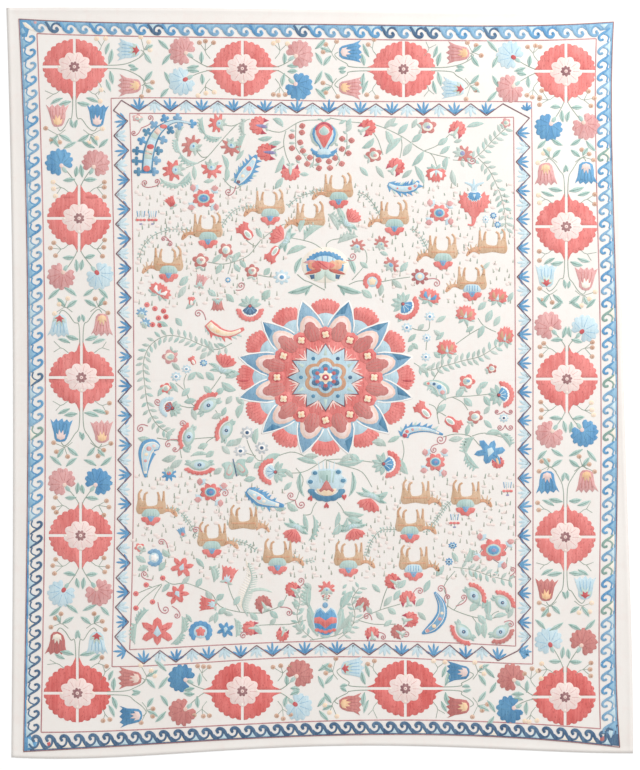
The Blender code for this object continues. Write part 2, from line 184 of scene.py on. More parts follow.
def smooth(points, steps=4, closed=False):
    """A smooth curve through a few points."""
    knots = [Vector(point) for point in points]
    count = len(knots)
    path = []
    for i in range(count if closed else count - 1):
        if closed:
            before, here, ahead, beyond = (knots[(i + k) % count] for k in (-1, 0, 1, 2))
        else:
            before, here = knots[max(i - 1, 0)], knots[i]
            ahead, beyond = knots[i + 1], knots[min(i + 2, count - 1)]
        for step in range(steps):
            t = step / steps
            path.append(0.5 * (2 * here + (ahead - before) * t
                               + (2 * before - 5 * here + 4 * ahead - beyond) * t * t
                               + (3 * here - before - 3 * ahead + beyond) * t ** 3))
    if not closed:
        path.append(knots[-1])
    return path


def share_along(values, t):
    """The value at t along a row of evenly spaced values."""
    if isinstance(values, (int, float)):
        return values
    place = t * (len(values) - 1)
    low = min(int(place), len(values) - 2)
    return values[low] + (values[low + 1] - values[low]) * (place - low)


def ribbon(path, widths):
    """The outline of a line of stitches: half of its width on each side of its path."""
    left, right = [], []
    last = len(path) - 1
    for i, here in enumerate(path):
        run = path[min(i + 1, last)] - path[max(i - 1, 0)]
        aside = left_of(run).normalized() * share_along(widths, i / last) / 2
        left.append(here + aside)
        right.append(here - aside)
    return left + right[::-1]


def round_outline(lobes=0, dent=0.0, steps=12, start=0.0):
    """A circle of radius 1, or with lobes, a scalloped one whose valleys are dented."""
    outline = []
    for step in range(steps):
        angle = 2 * math.pi * step / steps
        wave = abs(math.cos(lobes * angle / 2)) if lobes else 1.0
        reach = 1 - dent * (1 - wave)
        turned = angle + math.radians(start)
        outline.append((reach * math.sin(turned), reach * math.cos(turned)))
    return outline


def crest(step):
    """How far a scalloped rim stands out at a step, with three steps to a scallop."""
    return math.sin(math.pi * (step % 3) / 3) / SCALLOP_TOP


def set_down(outline, middle, width, height, turn=0.0):
    """Points drawn upright in half widths and half heights, turned clockwise and put in place."""
    cos, sin = math.cos(math.radians(turn)), math.sin(math.radians(turn))
    placed = []
    for x, y in outline:
        x, y = x * width / 2, y * height / 2
        placed.append(Vector((middle.x + x * cos + y * sin, middle.y - x * sin + y * cos)))
    return placed


def pucker(kind, x, y):
    """An uneven rise and fall from -1 to 1, as broad as its kind."""
    return noise.noise(Vector((x / kind.across, y / kind.along, kind.seed)))


def trough(crease, distance):
    """How deep a crease is at a distance from its middle."""
    away = abs(distance) / crease.half_width
    return crease.depth * (0.5 + 0.5 * math.cos(math.pi * away)) if away < 1 else 0.0


def cloth_rise(x, y):
    """The height of the cloth's face, with its creases and slight puckers."""
    across = x / side_length(CLOTH_EDGE, BOTTOM) + 0.5
    rise = CLOTH_THICKNESS
    for crease in CREASES:
        if crease.from_left <= across <= crease.to_left:
            rise -= trough(crease, y + CREASE_SWAY * math.sin(x / CREASE_SWAY_LENGTH) - crease.y)
    for crease in UPRIGHTS:
        if crease.low <= y <= crease.high:
            rise -= trough(crease, x - crease.x)
    fine = pucker(FINE_PUCKER, x, y)
    edge = max(0.0, abs(x) / HALF_WIDTH - EDGE_ZONE_START,
               abs(y) / HALF_LENGTH - EDGE_ZONE_START) / EDGE_ZONE_WIDTH
    return (rise + BROAD_PUCKER.height * pucker(BROAD_PUCKER, x, y) + FINE_PUCKER.height * fine
            + min(edge, 1.0) * EDGE_RIPPLE_HEIGHT * fine)


# Materials


def dye(red, green, blue):
    """A colour from its place on a printed colour card, 0 to 255."""
    linear = []
    for part in (red, green, blue):
        part /= 255
        linear.append(part / 12.92 if part <= 0.04045 else ((part + 0.055) / 1.055) ** 2.4)
    return (*linear, 1.0)


COLOUR, NUMBER = "NodeSocketColor", "NodeSocketFloat"


def group_start(name, inputs, outputs):
    """A new node group with its sockets, and the nodes at its two ends."""
    group = bpy.data.node_groups.new(name, "ShaderNodeTree")
    for label, kind in inputs:
        group.interface.new_socket(label, in_out="INPUT", socket_type=kind)
    for label, kind in outputs:
        group.interface.new_socket(label, in_out="OUTPUT", socket_type=kind)
    return group, group.nodes.new("NodeGroupInput"), group.nodes.new("NodeGroupOutput")


def math_node(tree, operation, first, second):
    """A sum or product of two numbers or sockets."""
    node = tree.nodes.new("ShaderNodeMath")
    node.operation = operation
    for socket, value in zip(node.inputs, (first, second)):
        if isinstance(value, (int, float)):
            socket.default_value = value
        else:
            tree.links.new(value, socket)
    return node.outputs[0]


def mix_node(tree, share, first, second, blend="MIX"):
    """A blend of two colours."""
    node = tree.nodes.new("ShaderNodeMix")
    node.data_type = "RGBA"
    node.blend_type = blend
    for socket, value in zip((node.inputs[0], node.inputs[6], node.inputs[7]),
                             (share, first, second)):
        if isinstance(value, (int, float, tuple)):
            socket.default_value = value
        else:
            tree.links.new(value, socket)
    return node.outputs[2]


def noise_node(tree, size, detail=2.0, seed=0.0):
    """Noise whose blots have the given size in millimetres across and along the cloth."""
    place = tree.nodes.new("ShaderNodeTexCoord")
    mapping = tree.nodes.new("ShaderNodeMapping")
    mapping.inputs["Location"].default_value = (seed, seed, seed)
    mapping.inputs["Scale"].default_value = [1 / (side * MM) for side in (*size, size[0])]
    tree.links.new(place.outputs["Object"], mapping.inputs["Vector"])
    node = tree.nodes.new("ShaderNodeTexNoise")
    node.inputs["Scale"].default_value = 1.0
    node.inputs["Detail"].default_value = detail
    tree.links.new(mapping.outputs["Vector"], node.inputs["Vector"])
    return node.outputs["Fac"]


def band_node(tree, direction, pitch, distortion):
    """Even bands like threads that lie side by side."""
    place = tree.nodes.new("ShaderNodeTexCoord")
    node = tree.nodes.new("ShaderNodeTexWave")
    node.bands_direction = direction
    node.inputs["Scale"].default_value = math.pi / (10 * pitch * MM)
    node.inputs["Distortion"].default_value = distortion
    node.inputs["Detail"].default_value = 1.0
    tree.links.new(place.outputs["Object"], node.inputs["Vector"])
    return node.outputs["Fac"]


def spread_node(tree, value, low, high):
    """A value stretched so that low becomes 0 and high becomes 1."""
    node = tree.nodes.new("ShaderNodeMapRange")
    node.inputs["From Min"].default_value = low
    node.inputs["From Max"].default_value = high
    tree.links.new(value, node.inputs["Value"])
    return node.outputs["Result"]


def laid_silk_group():
    """Silk laid upright in fine threads: streaks, uneven dyeing and small couching stitches."""
    group, start, end = group_start(
        "laid silk", (("Pale", COLOUR), ("Deep", COLOUR), ("Stitches", NUMBER)),
        (("Colour", COLOUR), ("Height", NUMBER)))
    streaks = spread_node(group, noise_node(group, (6.5, 60), detail=3.0), 0.36, 0.64)
    dyeing = noise_node(group, (70, 95), detail=2.0, seed=40.0)
    dyeing = spread_node(group, dyeing, 0.38, 0.62)
    both = math_node(group, "ADD", math_node(group, "MULTIPLY", streaks, 0.55),
                     math_node(group, "MULTIPLY", dyeing, 0.45))
    colour = mix_node(group, both, start.outputs["Pale"], start.outputs["Deep"])
    flecks = spread_node(group, noise_node(group, (3.6, 9), detail=1.0, seed=12.0), 0.60, 0.68)
    fleck_share = math_node(group, "MULTIPLY", flecks, start.outputs["Stitches"])
    darker = mix_node(group, 1.0, start.outputs["Deep"], COUCHING_SHADE, "MULTIPLY")
    colour = mix_node(group, fleck_share, colour, darker)
    threads = band_node(group, "X", pitch=1.1, distortion=1.6)
    height = math_node(group, "ADD", math_node(group, "MULTIPLY", threads, 0.6),
                       math_node(group, "MULTIPLY", streaks, 0.5))
    group.links.new(colour, end.inputs["Colour"])
    group.links.new(height, end.inputs["Height"])
    return group


def weave_group():
    """Plain cotton weave with slubs and faint blots from wear and old dye."""
    group, start, end = group_start(
        "cotton weave", (("Cloth", COLOUR), ("Worn", COLOUR), ("Blush", COLOUR)),
        (("Colour", COLOUR), ("Height", NUMBER)))
    worn = spread_node(group, noise_node(group, (160, 210), detail=3.0), 0.35, 0.70)
    colour = mix_node(group, math_node(group, "MULTIPLY", worn, 0.6),
                      start.outputs["Cloth"], start.outputs["Worn"])
    blush = spread_node(group, noise_node(group, (26, 34), detail=2.0, seed=21.0), 0.52, 0.72)
    colour = mix_node(group, math_node(group, "MULTIPLY", blush, 0.35),
                      colour, start.outputs["Blush"])
    slubs = spread_node(group, noise_node(group, (4, 46), detail=2.0, seed=5.0), 0.35, 0.65)
    wefts = spread_node(group, noise_node(group, (46, 3), detail=2.0, seed=9.0), 0.35, 0.65)
    both = math_node(group, "ADD", slubs, wefts)
    weave = math_node(group, "MULTIPLY", band_node(group, "X", pitch=1.0, distortion=0.6),
                      band_node(group, "Y", pitch=1.0, distortion=0.6))
    height = math_node(group, "ADD", weave, math_node(group, "MULTIPLY", both, 0.4))
    group.links.new(colour, end.inputs["Colour"])
    group.links.new(height, end.inputs["Height"])
    return group


def finish_material(name, group, values, roughness, bump, sheen):
    """A material whose colour and relief come from one of the groups."""
    material = bpy.data.materials.new(name)
    material.use_nodes = True
    tree = material.node_tree
    shader = tree.nodes["Principled BSDF"]
    shader.inputs["Roughness"].default_value = roughness
    shader.inputs["Specular IOR Level"].default_value = SPECULAR_LEVEL
    shader.inputs["Sheen Weight"].default_value = sheen
    finish = tree.nodes.new("ShaderNodeGroup")
    finish.node_tree = group
    for label, value in values.items():
        finish.inputs[label].default_value = value
    relief = tree.nodes.new("ShaderNodeBump")
    relief.inputs["Strength"].default_value = bump
    relief.inputs["Distance"].default_value = RELIEF_DEPTH * MM
    tree.links.new(finish.outputs["Height"], relief.inputs["Height"])
    tree.links.new(relief.outputs["Normal"], shader.inputs["Normal"])
    tree.links.new(finish.outputs["Colour"], shader.inputs["Base Color"])
    return material


# Silks: their pale and deep colours on a printed colour card, and how much the couching shows
Silk = namedtuple("Silk", "pale deep stitches")
SILKS = {
    "red": Silk((239, 149, 144), (219, 116, 112), 0.5),
    # This silk and the next are red and warm rose darkened with painted shade, for the bottom
    # border
    "strong_red": Silk((233, 131, 126), (212, 98, 94), 0.5),
    "strong_rose": Silk((204, 131, 126), (186, 106, 103), 0.5),
    "petal_blue": Silk((151, 186, 208), (117, 160, 191), 0.5),
    "pale_petal_blue": Silk((166, 197, 215), (137, 175, 200), 0.5),
    # Blue darkened with painted shade, for the bottom border
    "strong_blue": Silk((107, 160, 196), (78, 130, 173), 0.5),
    "deep_red": Silk((214, 112, 112), (190, 84, 88), 0.3),
    "rose": Silk((232, 182, 179), (210, 148, 147), 0.5),
    "pink": Silk((245, 224, 217), (236, 206, 200), 0.1),
    "peach": Silk((245, 222, 210), (238, 202, 188), 0.2),
    "yellow": Silk((251, 219, 180), (238, 190, 146), 0.2),
    "ochre": Silk((224, 192, 170), (204, 164, 142), 0.4),
    "blue": Silk((120, 174, 211), (90, 145, 191), 0.5),
    "mid_blue": Silk((150, 186, 211), (116, 162, 197), 0.4),
    "navy": Silk((102, 132, 160), (68, 96, 128), 0.4),
    "light_blue": Silk((211, 230, 236), (188, 213, 223), 0.3),
    "teal": Silk((198, 217, 212), (176, 203, 198), 0.3),
    "green": Silk((192, 213, 206), (164, 193, 185), 0.3),
    "dull_green": Silk((202, 213, 206), (176, 193, 184), 0.3),
    "cream": Silk((248, 242, 230), (240, 228, 212), 0.1),
    "lavender": Silk((172, 168, 200), (136, 130, 172), 0.3),
    "plum": Silk((178, 136, 134), (142, 98, 104), 0.2),
    "white": Silk((252, 249, 245), (246, 242, 238), 0.0),
    "pale_peach": Silk((249, 231, 226), (243, 217, 210), 0.1),
    "pale_pink": Silk((250, 226, 218), (244, 208, 198), 0.0),
    "pale_yellow": Silk((250, 232, 208), (244, 218, 186), 0.0),
    "orange": Silk((214, 172, 142), (196, 146, 118), 0.4),
    "crimson": Silk((206, 110, 124), (180, 74, 88), 0.0),
    "deep_blue": Silk((112, 160, 186), (76, 124, 160), 0.2),
    "grey": Silk((222, 224, 224), (190, 196, 200), 0.3),
    "deer": Silk((222, 192, 164), (204, 166, 132), 0.6),
    "warm_deer": Silk((226, 182, 150), (208, 152, 120), 0.6),
    "tuft": Silk((194, 196, 184), (164, 167, 152), 0.2),
    "leaf_green": Silk((196, 215, 206), (168, 195, 185), 0.3),
    "blush": Silk((243, 229, 223), (238, 221, 214), 0.0),
    "apricot": Silk((238, 190, 160), (224, 158, 128), 0.3),
    "brick": Silk((206, 120, 108), (184, 98, 90), 0.2),
    "star_blue": Silk((202, 223, 231), (175, 203, 215), 0.3),
    "ice": Silk((217, 233, 237), (196, 218, 227), 0.2),
    # Darker red for ribs and veins, and for painted crease shade on some rosettes
    "worn_red": Silk((230, 134, 130), (208, 104, 102), 0.5),
    "curl": Silk((206, 140, 144), (186, 112, 120), 0.0),
    "rule": Silk((208, 160, 160), (182, 122, 126), 0.2),
    "warm_rose": Silk((214, 146, 140), (196, 120, 116), 0.5),
    "deep_rose": Silk((196, 130, 128), (176, 104, 104), 0.2),
    "deep_ochre": Silk((202, 162, 142), (182, 138, 118), 0.2),
    "deep_green": Silk((152, 180, 170), (128, 160, 150), 0.2),
    "pale_green": Silk((208, 222, 213), (190, 210, 199), 0.2),
    "sky": Silk((164, 201, 222), (138, 182, 210), 0.3),
    "stem": Silk((176, 188, 176), (142, 156, 142), 0.1),
    "dark_plum": Silk((150, 118, 124), (112, 78, 88), 0.1),
}
LAID_SILK = laid_silk_group()


def silk_material(name):
    """The material of one silk, made when it is first sewn."""
    if name in bpy.data.materials:
        return bpy.data.materials[name]
    silk = SILKS[name]
    values = {"Pale": dye(*silk.pale), "Deep": dye(*silk.deep), "Stitches": silk.stitches}
    return finish_material(name, LAID_SILK, values, *SILK_FINISH)


# Sewing


def finish_piece(bm, name, materials, replaced):
    """Turn a bmesh in millimetres into a piece of the model."""
    bmesh.ops.scale(bm, vec=(MM, MM, MM), verts=bm.verts)
    for face in bm.faces:
        face.smooth = True
    mesh = bpy.data.meshes.new(name)
    bm.to_mesh(mesh)
    bm.free()
    for material in materials:
        mesh.materials.append(material)
    piece = bpy.data.objects.new(name, mesh)
    bpy.context.collection.objects.link(piece)
    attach(piece, "root")
    if replaced:
        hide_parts(*replaced)
    return piece


class Needlework:
    """The patches and lines of one piece of embroidery, drawn flat and raised when it is sewn."""

    def __init__(self, seed):
        self.shapes = []
        self.hand = random.Random(seed)

    def patch(self, silk, outline, layer=0):
        self.shapes.append((silk, [Vector(point) for point in outline], layer))

    def line(self, silk, path, widths, layer=0):
        self.patch(silk, ribbon([Vector(point) for point in path], widths), layer)

    def disc(self, silk, middle, width, height=None, layer=0, turn=0.0, steps=10):
        height = height or width
        self.patch(silk, set_down(round_outline(steps=steps), middle, width, height, turn), layer)

    def shake(self, amount):
        """A small uneven shift, as in work drawn by hand."""
        return Vector((self.hand.uniform(-amount, amount), self.hand.uniform(-amount, amount)))

    def sew(self, name, slot, replaced=()):
        """Raise every shape off the cloth by its layer, round its rim and make one piece."""
        silks = sorted({shape[0] for shape in self.shapes})
        bm = bmesh.new()
        lift = bm.verts.layers.float.new("layer")
        for silk, outline, layer in self.shapes:
            verts = [bm.verts.new((*point, 0)) for point in outline]
            for vert in verts:
                vert[lift] = layer
            bm.faces.new(verts).material_index = silks.index(silk)
        self.fold_at_creases(bm)
        for face in bm.faces:
            face.normal_update()
        downward = [face for face in bm.faces if face.normal.z < 0]
        bmesh.ops.reverse_faces(bm, faces=downward)
        risen = bmesh.ops.extrude_face_region(bm, geom=list(bm.faces), use_keep_orig=True)
        crown = [item for item in risen["geom"] if isinstance(item, bmesh.types.BMFace)]
        top = {vert for face in crown for vert in face.verts}
        for vert in bm.verts:
            ground = cloth_rise(vert.co.x, vert.co.y)
            height = STITCH_RIM + LAYER_RISE * vert[lift] if vert in top else -STITCH_ROOT
            vert.co.z = ground + height
        bmesh.ops.inset_region(bm, faces=crown, thickness=STITCH_SHOULDER, depth=STITCH_CROWN,
                               use_boundary=True, use_even_offset=False)
        bmesh.ops.recalc_face_normals(bm, faces=bm.faces)
        materials = [silk_material(silk) for silk in silks]
        return finish_piece(bm, name, materials, replaced)

    @staticmethod
    def fold_at_creases(bm):
        """Cut the flat shapes along the main fold, so that they can follow its trough."""
        fold = CREASES[0]
        for offset in (-fold.half_width, 0, fold.half_width):
            geometry = [*bm.verts, *bm.edges, *bm.faces]
            bmesh.ops.bisect_plane(bm, geom=geometry, dist=1e-4,
                                   plane_co=(0, fold.y + offset, 0), plane_no=(0, 1, 0))


# The ground cloth


def stations(length):
    """Places across the cloth, as shares, with a close pair at each edge for the hem."""
    hem = HEM_WIDTH / length
    step = (HEM_WIDTH + HEM_STEP) / length
    count = round(length / CLOTH_STEP)
    middle = [step + (1 - 2 * step) * i / count for i in range(count + 1)]
    return [0.0, hem, *middle, 1 - hem, 1.0]


def fold_rows(length):
    """Extra rows across the troughs, as shares from the bottom edge."""
    rows = []
    for crease in CREASES:
        for share in (-1, -0.5, 0, 0.5, 1):
            rows.append((crease.y + share * crease.half_width) / length + 0.5)
    return rows


def cloth_place(u, v):
    """The cloth's plan: its four bowed edges blended across the middle."""
    top = frame_point(CLOTH_EDGE, TOP, u)
    right = frame_point(CLOTH_EDGE, RIGHT, 1 - v)
    bottom = frame_point(CLOTH_EDGE, BOTTOM, 1 - u)
    left = frame_point(CLOTH_EDGE, LEFT, v)
    top_left, top_right = frame_ends(CLOTH_EDGE, TOP)
    bottom_right, bottom_left = frame_ends(CLOTH_EDGE, BOTTOM)
    straight = bottom_left.lerp(bottom_right, u).lerp(top_left.lerp(top_right, u), v)
    return left.lerp(right, u) + bottom.lerp(top, v) - straight


def cloth_height(u, v, place):
    """Thickness: the turned hem at the edge, then the plain cloth with its troughs."""
    length = side_length(CLOTH_EDGE, LEFT)
    width = side_length(CLOTH_EDGE, BOTTOM)
    to_edge = min(u * width, (1 - u) * width, v * length, (1 - v) * length)
    if to_edge < HEM_WIDTH / 2:
        return HEM_EDGE_THICKNESS
    if to_edge < HEM_WIDTH + HEM_STEP / 2:
        return HEM_THICKNESS
    return cloth_rise(place.x, place.y)


def ground_cloth():
    """The cotton with its turned hem: a grid moved to the cloth's plan and thickened."""
    length = side_length(CLOTH_EDGE, LEFT)
    across = stations(side_length(CLOTH_EDGE, BOTTOM))
    along = sorted(stations(length) + fold_rows(length))
    columns, rows = len(across) - 1, len(along) - 1
    bm = bmesh.new()
    bmesh.ops.create_grid(bm, x_segments=columns, y_segments=rows, size=0.5)
    risen = bmesh.ops.extrude_face_region(bm, geom=list(bm.faces), use_keep_orig=True)
    top = {item for item in risen["geom"] if isinstance(item, bmesh.types.BMVert)}
    for vert in bm.verts:
        u = across[round((vert.co.x + 0.5) * columns)]
        v = along[round((vert.co.y + 0.5) * rows)]
        place = cloth_place(u, v)
        height = cloth_height(u, v, place) if vert in top else 0.0
        vert.co = (*place, height)
    bmesh.ops.recalc_face_normals(bm, faces=bm.faces)
    values = {label: dye(*colour) for label, colour in COTTON_DYES.items()}
    cotton = finish_material("cotton", weave_group(), values, *COTTON_FINISH)
    return finish_piece(bm, "suzani_cloth", [cotton], ["ground_cloth"])


# Rules


def rule(work, silk, border, width, layer=0, depth=0.0):
    """A couched line round a frame."""
    for side in range(4):
        path = [frame_point(border, side, step / RULE_STEPS, depth)
                for step in range(RULE_STEPS + 1)]
        work.line(silk, path, width, layer)


def border_rule_piece():
    """The line between the wave band and the flowers of the border."""
    work = Needlework(seed=2)
    rule(work, "rule", BORDER_RULE, 3.8)
    return work.sew("border_rule_silk", "rose_silk", ["border_rule"])


def field_rules_piece():
    """The two lines on both sides of the zigzag band."""
    work = Needlework(seed=3)
    rule(work, "rule", FIELD_RULE_OUTER, 3.4)
    rule(work, "rule", FIELD_RULE_INNER, 3.4)
    return work.sew("field_rules_silk", "rose_silk", ["field_rule_outer", "field_rule_inner"])


# The wave band. A wave's shapes are a share of its pitch along and of the way in to the rule.
WaveRow = namedtuple("WaveRow", "side count first last stem arch edge")
WAVE_ROWS = (
    WaveRow(TOP, 39, 41, 96, (7, 11.5, 11, 8), 7, 9),
    WaveRow(RIGHT, 53, 20, 91, (5, 8.5, 9, 7), 5, 9),
    WaveRow(BOTTOM, 41, 26, 71, (7, 12, 11, 8), 7, 9),
    WaveRow(LEFT, 52, 49, 102, (4.5, 8, 8.5, 6.5), 4.5, 9),
)
WaveShape = namedtuple("WaveShape", "stem arch gap")
ROLLING = WaveShape(
    ((0.00, 0.10), (0.14, 0.30), (0.30, 0.60), (0.50, 0.77), (0.72, 0.78), (0.84, 0.66),
     (0.77, 0.55)),
    ((0.42, 0.62), (0.44, 0.40), (0.56, 0.24), (0.74, 0.18), (0.92, 0.24), (1.10, 0.40)),
    ((0.0, 0.10), (0.14, 0.30), (0.30, 0.60), (0.42, 0.66), (0.43, 0.42), (0.56, 0.24),
     (0.74, 0.18), (0.72, 0.10)))
CURLING = WaveShape(
    ((0.04, 0.20), (0.23, 0.37), (0.42, 0.60), (0.62, 0.79), (0.82, 0.83), (0.95, 0.73),
     (0.91, 0.61)),
    ((0.46, 0.56), (0.55, 0.36), (0.72, 0.25), (0.90, 0.27), (1.06, 0.32)),
    ((0.02, 0.14), (0.23, 0.37), (0.42, 0.60), (0.47, 0.56), (0.55, 0.36), (0.72, 0.25),
     (0.78, 0.12)))


def band_depth(side, t):
    """How far the rule lies in from the wave band's outer edge, straight inward from t."""
    edge = frame_point(WAVE_EDGE, side, t)
    axis = 0 if side in (TOP, BOTTOM) else 1
    start, end = frame_ends(BORDER_RULE, side)
    across = (edge[axis] - start[axis]) / (end[axis] - start[axis])
    return (frame_point(BORDER_RULE, side, min(max(across, 0), 1)) - edge).dot(INWARD[side])


def band_point(side, t, share):
    """A point part of the way straight in from the wave band's outer edge to the rule."""
    return frame_point(WAVE_EDGE, side, t, share * band_depth(side, min(max(t, 0), 1)))


def wave_silks(work, side, t):
    """The silks of one wave: its hook, the edge behind it and the gap under its arch."""
    roll = work.hand.random()
    if side == BOTTOM:
        return "navy", "navy", "light_blue" if roll < 0.5 else "cream"
    if side == LEFT and (t < 0.3 or 0.49 < t < 0.51):
        return "navy", "blue", "light_blue" if roll < 0.7 else "cream"
    if side == TOP:
        hook = "mid_blue" if roll < 0.5 else "blue" if roll < 0.88 else "navy"
        return hook, "mid_blue", "sky" if roll < 0.6 else "light_blue"
    if roll < 0.10:
        return "deep_green", "mid_blue", "cream"
    hook = "blue" if roll < 0.55 else "mid_blue"
    return hook, "mid_blue", "sky" if roll < 0.6 else "light_blue"


def wave(work, row, shape, start, pitch):
    """One wave: a curling stem, the arch over the curl and the gap behind them."""
    hook, edge, gap = wave_silks(work, row.side, start)
    lean = work.hand.uniform(-0.04, 0.04)

    def run(points):
        return [band_point(row.side, start + (along + lean * down) * pitch, down)
                for along, down in points]

    path = [frame_point(WAVE_EDGE, row.side, start + share * pitch, row.edge / 2)
            for share in (-0.02, 0.5, 1.02)]
    work.line(edge, path, row.edge)
    work.line(hook, smooth(run(shape.arch), 2), row.arch, 2)
    stem = smooth(run(shape.stem), 3)
    work.line(hook, stem, row.stem, 3)
    work.disc(hook, stem[-1], row.stem[-1] * 1.3, layer=3, steps=8)
    work.patch(gap, run(shape.gap), 1)


# Corner shapes of the wave band in chart steps: their silk, layer and outline
CornerShape = namedtuple("CornerShape", "silk layer outline")
WAVE_CORNERS = (
    CornerShape("blue", 0, ((19, 19.5), (32, 20), (34, 27), (29, 30), (27, 37), (20, 37))),
    CornerShape("cream", 1, ((22.5, 22.5), (26, 22.5), (31, 26.5), (35, 31.5), (29.5, 29.5),
                             (25, 27))),
    CornerShape("rose", 1, ((33.5, 21.5), (37, 21.5), (36.5, 24), (34, 24))),
    CornerShape("sky", 1, ((21, 29), (23, 28), (25.5, 33), (22, 34))),
    CornerShape("mid_blue", 0, ((594, 23), (613, 22), (613.3, 33), (606, 30), (600, 31),
                                (596, 27))),
    CornerShape("light_blue", 1, ((600, 24.5), (608, 24), (604, 28.5))),
    CornerShape("sky", 1, ((608, 26), (612, 25), (611.5, 31))),
    CornerShape("navy", 0, ((606, 728), (618.5, 724), (619.6, 746), (600, 744), (604, 736))),
    CornerShape("light_blue", 1, ((609, 730), (614, 731), (611, 738), (607, 737))),
    CornerShape("deep_rose", 1, ((600, 737), (604, 736), (604.5, 741), (600, 742))),
    CornerShape("blue", 0, ((24, 751), (24, 730), (30, 733), (33, 741), (45, 744), (44, 748.5))),
    CornerShape("light_blue", 1, ((28, 738), (32, 741), (34, 746), (28, 748))),
    CornerShape("cream", 1, ((37, 743), (42, 744), (40, 747), (36, 747))),
    CornerShape("deep_red", 1, ((47, 743), (50, 741.5), (51, 745), (48, 746))),
)


def wave_border():
    """The waves along all four sides, their corners and the edging outside them."""
    work = Needlework(seed=11)
    for row in WAVE_ROWS:
        length = side_length(WAVE_EDGE, row.side)
        pitch = (length - row.first - row.last) / (row.count - 1) / length
        shape = ROLLING if row.side in (TOP, BOTTOM) else CURLING
        for step in range(row.count):
            wave(work, row, shape, row.first / length + step * pitch, pitch)
    for corner in WAVE_CORNERS:
        work.patch(corner.silk, chart_run(corner.outline), corner.layer)
    rule(work, "plum", WAVE_EDGE, 3.0, 3, 0.5)
    return work.sew("wave_border", "blue_silk", ["wave_band"])


# The zigzag band
ZIGZAG_WIDTH = 3.6
ZIGZAG_CLEARANCE = 7.5
TipRow = namedtuple("TipRow", "side first last count on_inner")
TIP_ROWS = (
    TipRow(TOP, -615, 567, 12, True),
    TipRow(RIGHT, 848, -912, 19, True),
    TipRow(BOTTOM, 606, -598, 12, False),
    TipRow(LEFT, -914, 889, 19, True),
)
CORNER_TIPS = {TOP: ((TOP, 623), (RIGHT, 899)), LEFT: ((LEFT, 925), (TOP, -674))}
CORNER_FANS = ((526.5, 110.5, 0), (528, 655, 300))
FAN_SPREAD = (-66, -34, 0, 34, 66)
FAN_REACH = (0.86, 1.0, 1.05, 1.0, 0.86)
DARK_FAN = 38.0
CORNER_FAN = 25.0
PALE_FAN = 36.0


def tip_point(side, place, on_inner):
    """The point at a given x or y by one of the field's rules, clear of the rule's thread."""
    border = FIELD_RULE_INNER if on_inner else FIELD_RULE_OUTER
    axis = 0 if side in (TOP, BOTTOM) else 1
    start, end = frame_ends(border, side)
    t = (place - start[axis]) / (end[axis] - start[axis])
    return frame_point(border, side, t, -ZIGZAG_CLEARANCE if on_inner else ZIGZAG_CLEARANCE)


def frond_fan(work, silk, foot, turn, reach, width, layer):
    """Five pointed fronds that spread from one foot."""
    for spread, share in zip(FAN_SPREAD, FAN_REACH):
        length = reach * share * work.hand.uniform(0.92, 1.08)
        tip = foot + heading(turn + spread * 0.9 + work.hand.uniform(-5, 5)) * length
        frond(work, silk, foot, tip, width, layer)
    work.disc(silk, foot.lerp(tip, 0.12), width * 1.1, layer=layer, steps=8)


def frond(work, silk, foot, tip, width, layer):
    """A slim shape that is broadest past its middle and pointed at its tip."""
    spine = bowed(foot, tip, 0, (0, 0.3, 0.6, 0.85, 1))
    work.line(silk, spine, (0.35 * width, 0.8 * width, width, 0.7 * width, 0.1 * width), layer)


def zigzag_band():
    """A plum zigzag with dark fronds along one row of its tips and pale ones along the other."""
    work = Needlework(seed=5)
    path = []
    for row in TIP_ROWS:
        step = (row.last - row.first) / (row.count - 1)
        outward = (0, 90, 180, 270)[row.side]
        for tip in range(row.count):
            place = row.first + tip * step
            point = tip_point(row.side, place, row.on_inner)
            path.append(point)
            turn = outward if row.on_inner else outward + 180
            away = heading(turn)
            frond_fan(work, "blue", point + away * 6, turn, DARK_FAN, 8, 1)
            if tip < row.count - 1:
                other = tip_point(row.side, place + step / 2, not row.on_inner)
                path.append(other)
                frond_fan(work, "ice", other - away * 7, turn + 180, PALE_FAN, 11, 0)
        for side, place in CORNER_TIPS.get(row.side, ()):
            path.append(tip_point(side, place, False))
    for across, down, turn in CORNER_FANS:
        frond_fan(work, "blue", chart(across, down), turn, CORNER_FAN, 7, 1)
    for i, here in enumerate(path):
        work.line("dark_plum", [here, path[(i + 1) % len(path)]], ZIGZAG_WIDTH, 2)
    return work.sew("zigzag_band", "plum_silk", ["zigzag_line"])


# Leaves, twigs and berries


def leaf(work, foot, tip, width, silk="green", layer=1, bow=0.0, vein="deep_green"):
    """A pointed leaf with its vein, from its foot to its tip."""
    spine = bowed(foot, tip, bow, (0, 0.18, 0.4, 0.65, 0.85, 1))
    work.line(silk, spine, [width * share for share in (0.1, 0.62, 1.0, 0.9, 0.5, 0.06)], layer)
    if vein:
        work.line(vein, spine[:5], 0.14 * width + 0.8, layer + 1)


BERRY_SIZE = (17.0, 15.6)


def berry(work, middle, silk, heart):
    """A round berry with a small dark heart."""
    work.disc(silk, middle, *BERRY_SIZE, 1, steps=10)
    work.disc(heart, middle + Vector((1.5, -1)), 7, 7, 2, steps=6)


